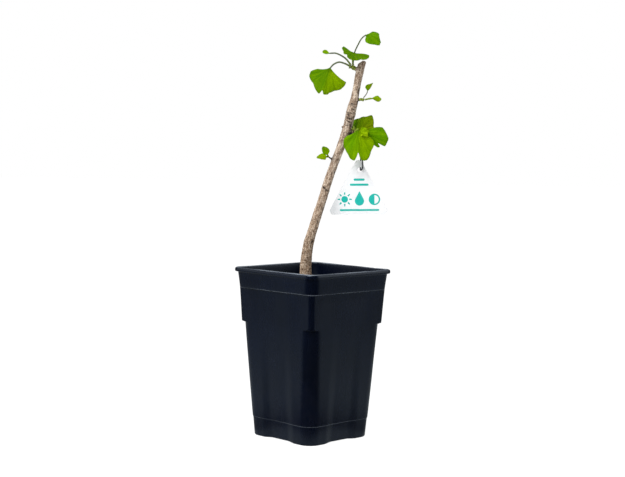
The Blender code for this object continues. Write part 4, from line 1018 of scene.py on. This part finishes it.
def pot_surface():
    """The shell's rings with the slight bows of a thin moulded wall and a rim that isn't quite level."""
    rings = np.array([square_loop(half, corner, height, panel, lift)
                      for height, half, corner, panel, lift in pot_profile()])
    flat = rings.reshape(-1, 3)
    slow = noise_at(flat * (0.018, 0.018, 0.012), 2)
    hold = smoothstep(flat[:, 2], 20, 60)
    flat = flat + unit(flat * (1, 1, 0)) * (0.35 * slow * hold)[:, None]
    rim = smoothstep(flat[:, 2], 145, 152)
    dip = noise_at(flat * (0.03, 0.03, 0.0) + 9.0, 2)
    nick = sum(depth * np.exp(-((flat[:, 0] - place) / half) ** 2) for place, half, depth in NICKS)
    flat[:, 2] += rim * (0.22 * dip - 0.55 * nick * (flat[:, 1] > 47))
    return flat * MM, loft_faces(*rings.shape[:2])


def make_pot(look):
    """The moulded shell: rolled lip, upper band, cut-in corners, sunk panels, skirt, feet and drains."""
    blank = raw_mesh("pot_blank", *pot_surface())
    face_out(blank)
    shell = put("pot_blank", blank)
    bm = bmesh.new()
    for x, y in ((0, 0), (1, 1), (-1, 1), (-1, -1), (1, -1)):
        centre = Vector((x * DRAIN_SPACING, y * DRAIN_SPACING, FLOOR_LIFT + WALL / 2))
        bmesh.ops.create_cone(bm, cap_ends=True, segments=40, radius1=DRAIN_RADIUS * MM,
                              radius2=DRAIN_RADIUS * MM, depth=5 * MM, matrix=Matrix.Translation(centre * MM))
    drains = bpy.data.meshes.new("pot_holes")
    bm.to_mesh(drains)
    bm.free()
    cutter = put("pot_holes", drains)
    drill = shell.modifiers.new("drill", "BOOLEAN")
    drill.object = cutter
    drill.operation = "DIFFERENCE"
    mesh = baked(shell)
    bpy.data.objects.remove(cutter, do_unlink=True)
    mesh.materials.clear()
    mesh.materials.append(look)
    return finish_piece("pot_shell", mesh, ["pot"], 50)


# Potting mix

STEM_PLACE = (-4.6, -4.6)       # the trunk's foot in the soil
CRUST_REACH, CRUST_LIFT, STEM_GAP = 46.1, 1.3, 6.1
# Grains: look, number, smallest and largest size, stretch
GRAINS = [(0, 620, (0.5, 1.5), (1, 0.85, 0.7)), (1, 230, (0.8, 2.6), (1.5, 0.75, 0.34)),
          (2, 150, (0.5, 1.3), (1, 0.9, 0.8)), (1, 60, (1.4, 2.6), (2.4, 0.28, 0.22))]
GRAIN_REACH, GRAIN_GAP = 44.2, 7.2


def crust_height(x, y):
    """Height of the crumbly top of the potting mix, in mm."""
    place = Vector((x, y, 0.0))
    lumps = noise.fractal(place * 0.055, 1.0, 2.0, 2)
    crumbs = noise.fractal(place * 0.32, 0.9, 2.0, 4)
    heap = math.exp(-((x - STEM_PLACE[0]) ** 2 + (y - STEM_PLACE[1]) ** 2) / 260)
    return SOIL_TOP + CRUST_LIFT + 0.9 * lumps + 0.75 * crumbs + 1.0 * heap


def make_crust(look):
    """The loose top of the mix, from the pot's wall to the trunk."""
    count, rows = 360, 56
    centre = np.array((TRUNK_FOOT, TRUNK_FOOT)) * math.cos(LEAN_HEADING)
    turns = np.arange(count) / count * math.tau
    ways = np.stack((np.cos(turns), np.sin(turns)), 1)
    outer = ways * CRUST_REACH / (np.abs(ways) ** 9).sum(1, keepdims=True) ** (1 / 9)
    inner = centre + STEM_GAP * unit(outer - centre)
    top = outer[None] + (inner - outer)[None] * np.linspace(0, 1, rows)[:, None, None]
    heights = np.array([[crust_height(x, y) for x, y in ring] for ring in top])
    top = np.concatenate((top, heights[..., None]), 2)
    under = np.stack([np.concatenate((ring, np.full((count, 1), SOIL_TOP + 0.05)), 1)
                      for ring in (inner, outer)])
    rings = np.concatenate((top, under))
    faces = []
    for row in range(len(rings)):
        a, b = row * count, (row + 1) % len(rings) * count
        for column in range(count):
            after = (column + 1) % count
            faces.append((a + column, a + after, b + after, b + column))
    return mesh_piece("potting_mix_top", rings.reshape(-1, 3) * MM, faces, [look], sharp=70)


def lump(rng, size, stretch, level):
    """A small rough stone or chip: its points about the origin, in mm, and its faces."""
    bm = bmesh.new()
    bmesh.ops.create_icosphere(bm, subdivisions=level, radius=1.0)
    bm.verts.ensure_lookup_table()
    offset = Vector((rng.uniform(0, 90), rng.uniform(0, 90), rng.uniform(0, 90)))
    turn = Matrix.Rotation(rng.uniform(0, math.tau), 3, "Z") @ Matrix.Rotation(rng.uniform(-0.5, 0.5), 3, "X")
    turn = turn @ Matrix.Rotation(rng.uniform(-0.4, 0.4), 3, "Y")
    points = []
    for vertex in bm.verts:
        place = vertex.co * (1 + 0.45 * noise.noise(vertex.co * 1.4 + offset))
        points.append(turn @ Vector([measure * size * share for measure, share in zip(place, stretch)]))
    faces = [[v.index for v in face.verts] for face in bm.faces]
    bm.free()
    return points, faces


def make_grains(looks):
    """Crumbs, bark chips and pale grit lying on the mix."""
    rng = random.Random(SEED)
    points, faces, kinds = [], [], []
    for kind, number, sizes, stretch in GRAINS:
        for _ in range(number):
            size = rng.uniform(*sizes) * rng.uniform(0.6, 1.0)
            x, y = rng.uniform(-GRAIN_REACH, GRAIN_REACH), rng.uniform(-GRAIN_REACH, GRAIN_REACH)
            if math.hypot(x - STEM_PLACE[0], y - STEM_PLACE[1]) < GRAIN_GAP + size:
                continue
            corners, sides = lump(rng, size * 0.8, stretch, 2 if size > 1.3 else 1)
            lift = crust_height(x, y) + 0.25 * size
            first = len(points)
            points += [(p.x + x, p.y + y, max(p.z + lift, SOIL_TOP + 0.2)) for p in corners]
            faces += [[first + index for index in side] for side in sides]
            kinds += [kind] * len(sides)
    return mesh_piece("potting_mix_grains", np.array(points) * MM, faces, looks, sharp=50,
                      kinds=kinds)


# Tag

TAG_APEX = (39.8, 0.9, 256.1)
TAG_WIDTH, TAG_HEIGHT, TAG_CORNER = 57.2, 53.2, 3.6
TAG_THICKNESS = 0.5
TAG_TILT = math.radians(1.3)
HOLE_RADIUS, HOLE_SIDE, HOLE_DROP = 2.2, 1.4, 12.6
CURL_START, CURL_DEPTH, CURL_POWER = 11.0, -10.0, 2.5
PRINT_DEPTH = (-0.04, 0.03)     # the ink's faces over and under the tag's front
# Places of the signs on the flat tag, from its apex: across, up
SUN, SUN_RADIUS, SUN_RAYS, RAY_REACH, RAY_WIDTH = (-12.6, -39.4), 3.0, 8, (4.2, 6.5), 1.5
DROP, DROP_RADIUS = (0.8, -41.0), 4.2
SHADE, SHADE_RADIUS, SHADE_INNER = (14.4, -39.6), 5.2, 3.9
BARS = [((0.6, -21.6), 10.0, 2.0), ((0.6, -26.2), 17.0, 2.0), ((0.8, -49.2), 36.0, 1.7)]


def tag_place(x, z, depth):
    """A point of the tag from its own flat coordinates, with the curl of its left side."""
    bent = max(0.0, -x - CURL_START) / (TAG_WIDTH / 2 - CURL_START)
    along = TAG_APEX[0] + x * math.cos(TAG_TILT) - z * math.sin(TAG_TILT)
    height = TAG_APEX[2] + x * math.sin(TAG_TILT) + z * math.cos(TAG_TILT)
    return (along, TAG_APEX[1] + CURL_DEPTH * bent ** CURL_POWER + depth, height)


def arc(centre, radius, first, last, steps):
    return [(centre[0] + radius * math.cos(t), centre[1] + radius * math.sin(t))
            for t in np.linspace(first, last, steps)]


def ring(centre, radius, sides):
    return arc(centre, radius, 0, math.tau * (sides - 1) / sides, sides)


def tag_outline():
    """The triangle with its round corners."""
    half = TAG_WIDTH / 2
    corners = [Vector((0, 0)), Vector((-half, -TAG_HEIGHT)), Vector((half, -TAG_HEIGHT))]
    outline = []
    for index, corner in enumerate(corners):
        arriving = (corner - corners[index - 1]).normalized()
        leaving = (corners[(index + 1) % 3] - corner).normalized()
        sweep = arriving.angle(leaving)
        centre = corner + (leaving - arriving).normalized() * TAG_CORNER / math.cos(sweep / 2)
        start = math.atan2(-arriving.x, arriving.y)
        outline += arc(centre, TAG_CORNER, start, start + sweep, 14)
    return outline


def bar(centre, length, width):
    """A straight bar with round ends."""
    x, z = centre
    half, r = length / 2 - width / 2, width / 2
    return (arc((x + half, z), r, -math.pi / 2, math.pi / 2, 7)
            + arc((x - half, z), r, math.pi / 2, 3 * math.pi / 2, 7))


def ray(centre, angle):
    """A ray of the sun, a little narrower at its far end."""
    way = Vector((math.cos(angle), math.sin(angle)))
    side = Vector((-way.y, way.x)) * RAY_WIDTH / 2
    near, far = (Vector(centre) + way * reach for reach in RAY_REACH)
    return [tuple(near - side), tuple(far - side * 0.6), tuple(far + side * 0.6), tuple(near + side)]


def drop(centre, radius):
    """A drop of water: a round foot and a point on top."""
    lean = math.radians(32)
    return arc(centre, radius, math.pi - lean, math.tau + lean, 22) + [(centre[0], centre[1] + 2.15 * radius)]


def sheet_mesh(name, outlines, front, back, strip=1.2, band=4.0):
    """A thin closed sheet of flat outlines between two depths, cut in strips and bent with the tag."""
    curve = bpy.data.curves.new(name, "CURVE")
    curve.dimensions = "2D"
    curve.fill_mode = "BOTH"
    curve.extrude = (back - front) / 2
    for outline in outlines:
        spline = curve.splines.new("POLY")
        spline.points.add(len(outline) - 1)
        for node, point in zip(spline.points, outline):
            node.co = (*point, 0, 1)
        spline.use_cyclic_u = True
    mesh = baked(put(name, curve))
    bm = bmesh.new()
    bm.from_mesh(mesh)
    bmesh.ops.remove_doubles(bm, verts=bm.verts, dist=0.0005)
    cuts = [((x, 0, 0), (1, 0, 0)) for x in np.arange(-TAG_WIDTH / 2 + strip / 2, TAG_WIDTH / 2, strip)]
    cuts += [((0, z, 0), (0, 1, 0)) for z in np.arange(-TAG_HEIGHT + band / 2, 0, band)]
    for place, normal in cuts:
        geometry = bm.verts[:] + bm.edges[:] + bm.faces[:]
        bmesh.ops.bisect_plane(bm, geom=geometry, dist=0.0001, plane_co=place, plane_no=normal)
    for vertex in bm.verts:
        x, z, depth = vertex.co
        ripple = 0.12 * noise.noise(Vector((x * 0.07, z * 0.07, 3.0)))
        vertex.co = to_world(tag_place(x, z, depth + (front + back) / 2 + ripple))
    bmesh.ops.triangulate(bm, faces=bm.faces)
    bm.to_mesh(mesh)
    bm.free()
    mesh.materials.clear()
    return mesh


def make_tag(white, ink):
    """The white tag and its generic care signs: sun, drop and half shade, with ruled lines."""
    half = TAG_THICKNESS / 2
    hole = ring((HOLE_SIDE, -HOLE_DROP), HOLE_RADIUS, 32)
    sheet = sheet_mesh("tag_sheet", [tag_outline(), hole], -half, half)
    sheet.materials.append(white)
    finish_piece("tag_sheet", sheet, ["tag"], 30)

    signs = [ring(SUN, SUN_RADIUS, 32), drop(DROP, DROP_RADIUS)]
    signs += [ray(SUN, math.tau * index / SUN_RAYS) for index in range(SUN_RAYS)]
    signs += [ring(SHADE, SHADE_RADIUS, 48), arc(SHADE, SHADE_INNER, math.pi / 2, -math.pi / 2, 20)]
    signs += [bar(*measures) for measures in BARS]
    over, under = PRINT_DEPTH
    print_mesh = sheet_mesh("tag_print", signs, over - half, under - half)
    print_mesh.materials.append(ink)
    finish_piece("tag_print", print_mesh, sharp=30)


WIRE_RADIUS = 0.66
WIRE = [
    (34.4, -3.2, 273.6), (34.4, -3.4, 276.2), (34.4, -2.3, 278.5), (34.5, 0.0, 279.4),
    (34.7, 2.4, 278.6), (35.3, 3.4, 275.8), (37.0, 3.2, 271.0), (39.2, 1.6, 265.0),
    (41.8, 0.0, 258.4), (43.4, -1.0, 252.0), (43.8, -1.3, 246.8), (43.2, -0.7, 244.2),
    (42.4, 0.8, 243.1), (41.9, 2.6, 244.0), (41.9, 3.2, 248.6), (42.1, 3.0, 254.0),
    (42.8, 2.2, 259.0),
]


def make_wire(look):
    """The bent wire through the tag's hole and round the spur."""
    stations = smooth_path([(*place, WIRE_RADIUS) for place in WIRE], 7)
    rings = tube(stations, 14, (1.0, 0.0, 0.0), domed=True)
    return mesh_piece("hanging_wire", to_world(rings.reshape(-1, 3)), loft_faces(*rings.shape[:2]), [look],
                      ["tag_wire"])


# Camera, floor and light

# The photograph's viewpoint: radians and metres
CAMERA_PITCH, CAMERA_ROLL = 0.0662, 0.0170
CAMERA_DISTANCE, CAMERA_HEIGHT, CAMERA_ASIDE = 1.2696, 0.2645, -0.0005
SENSOR_WIDTH = 36
FOCAL_PIXELS, PHOTO_WIDTH = 1400, 625
FORWARD = Vector((-math.sin(AZIMUTH), math.cos(AZIMUTH), 0))
RIGHT = Vector((math.cos(AZIMUTH), math.sin(AZIMUTH), 0))
UP = Vector((0, 0, 1))
FLOOR_RADIUS = 9.0
# The surroundings as the camera sees them, as light and as mirrored: colour, strength
SURROUNDINGS = [((1.0, 1.0, 1.0), 1.0), ((0.96, 0.98, 1.0), 0.37), ((0.80, 0.92, 1.0), 0.04)]
# Lights: place to the camera's right, towards it and up, in metres; size; power
LIGHTS = {
    "key": ((-0.8, 1.0, 1.6), (1.2, 1.2), 40), "top": ((0.0, 0.0, 1.8), (1.2, 1.2), 9),
    "left": ((-1.5, 0.0, 0.45), (0.9, 1.3), 3), "right": ((1.5, 0.0, 0.45), (0.9, 1.3), 4.5),
}
LIGHT_AIM = Vector((0.0, 0.0, 0.2))


def camera_side(right, toward, height):
    """A place in metres from how far it is to the camera's right and towards it."""
    return RIGHT * right - FORWARD * toward + UP * height


def make_camera():
    """The photograph's viewpoint."""
    look_way = FORWARD * math.cos(CAMERA_PITCH) - UP * math.sin(CAMERA_PITCH)
    look_up = UP * math.cos(CAMERA_PITCH) + FORWARD * math.sin(CAMERA_PITCH)
    x_axis = RIGHT * math.cos(CAMERA_ROLL) + look_up * math.sin(CAMERA_ROLL)
    y_axis = -RIGHT * math.sin(CAMERA_ROLL) + look_up * math.cos(CAMERA_ROLL)
    camera = bpy.data.cameras.new("camera")
    camera.sensor_width = SENSOR_WIDTH
    camera.lens = SENSOR_WIDTH * FOCAL_PIXELS / PHOTO_WIDTH
    camera.clip_start, camera.clip_end = 0.05, 50
    item = put("camera", camera)
    turn = Matrix((x_axis, y_axis, -look_way)).transposed().to_4x4()
    place = camera_side(CAMERA_ASIDE, CAMERA_DISTANCE, CAMERA_HEIGHT)
    item.matrix_world = Matrix.Translation(place) @ turn
    bpy.context.scene.camera = item


def make_floor():
    mesh = bpy.data.meshes.new("floor")
    bm = bmesh.new()
    bmesh.ops.create_circle(bm, cap_ends=True, segments=96, radius=FLOOR_RADIUS)
    bm.to_mesh(mesh)
    bm.free()
    mesh.materials.append(floor_look())
    put("floor", mesh)


def make_lights():
    """White surroundings that the pot mirrors dark, and four soft lights."""
    world = bpy.data.worlds.new("studio")
    bpy.context.scene.world = world
    look = Look("studio", world)
    rays = look.add("LightPath").outputs
    seen, lighting, mirrored = (look.light("Background", *tone) for tone in SURROUNDINGS)
    other = look.blend(rays["Is Glossy Ray"], lighting, mirrored)
    look.done(look.blend(rays["Is Camera Ray"], other, seen), "OutputWorld")
    for name, (place, size, power) in LIGHTS.items():
        light = bpy.data.lights.new(name, "AREA")
        light.shape = "RECTANGLE"
        light.size, light.size_y = size
        light.energy = power
        item = put(name, light)
        item.location = camera_side(*place)
        item.rotation_euler = (LIGHT_AIM - item.location).to_track_quat("-Z", "Y").to_euler()
    bpy.context.scene.view_settings.view_transform = "Standard"


# Put it together

def main():
    make_trunk(bark_look())
    shoot_green = shoot_look()
    for name in SHOOTS:
        make_shoot(name, shoot_green)
    for seed, (name, leaf) in enumerate(LEAVES.items(), 1):
        make_leaf(name, leaf, leaf_look(name + "_green", *LEAF_COLOURS[name]), seed)
    make_pot(pot_look())
    peat = mix_look("potting_mix", *PEAT)
    make_crust(peat)
    make_grains([peat, mix_look("bark_chips", *CHIPS, 0.85), mix_look("pale_grit", *GRIT, 0.9)])
    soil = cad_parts["soil"]
    soil.data.materials.clear()
    soil.data.materials.append(peat)
    make_tag(tag_look("tag_plastic", TAG_WHITE, 0.38), tag_look("tag_ink", TAG_INK, 0.45))
    make_wire(wire_look())
    make_camera()
    make_floor()
    make_lights()


main()
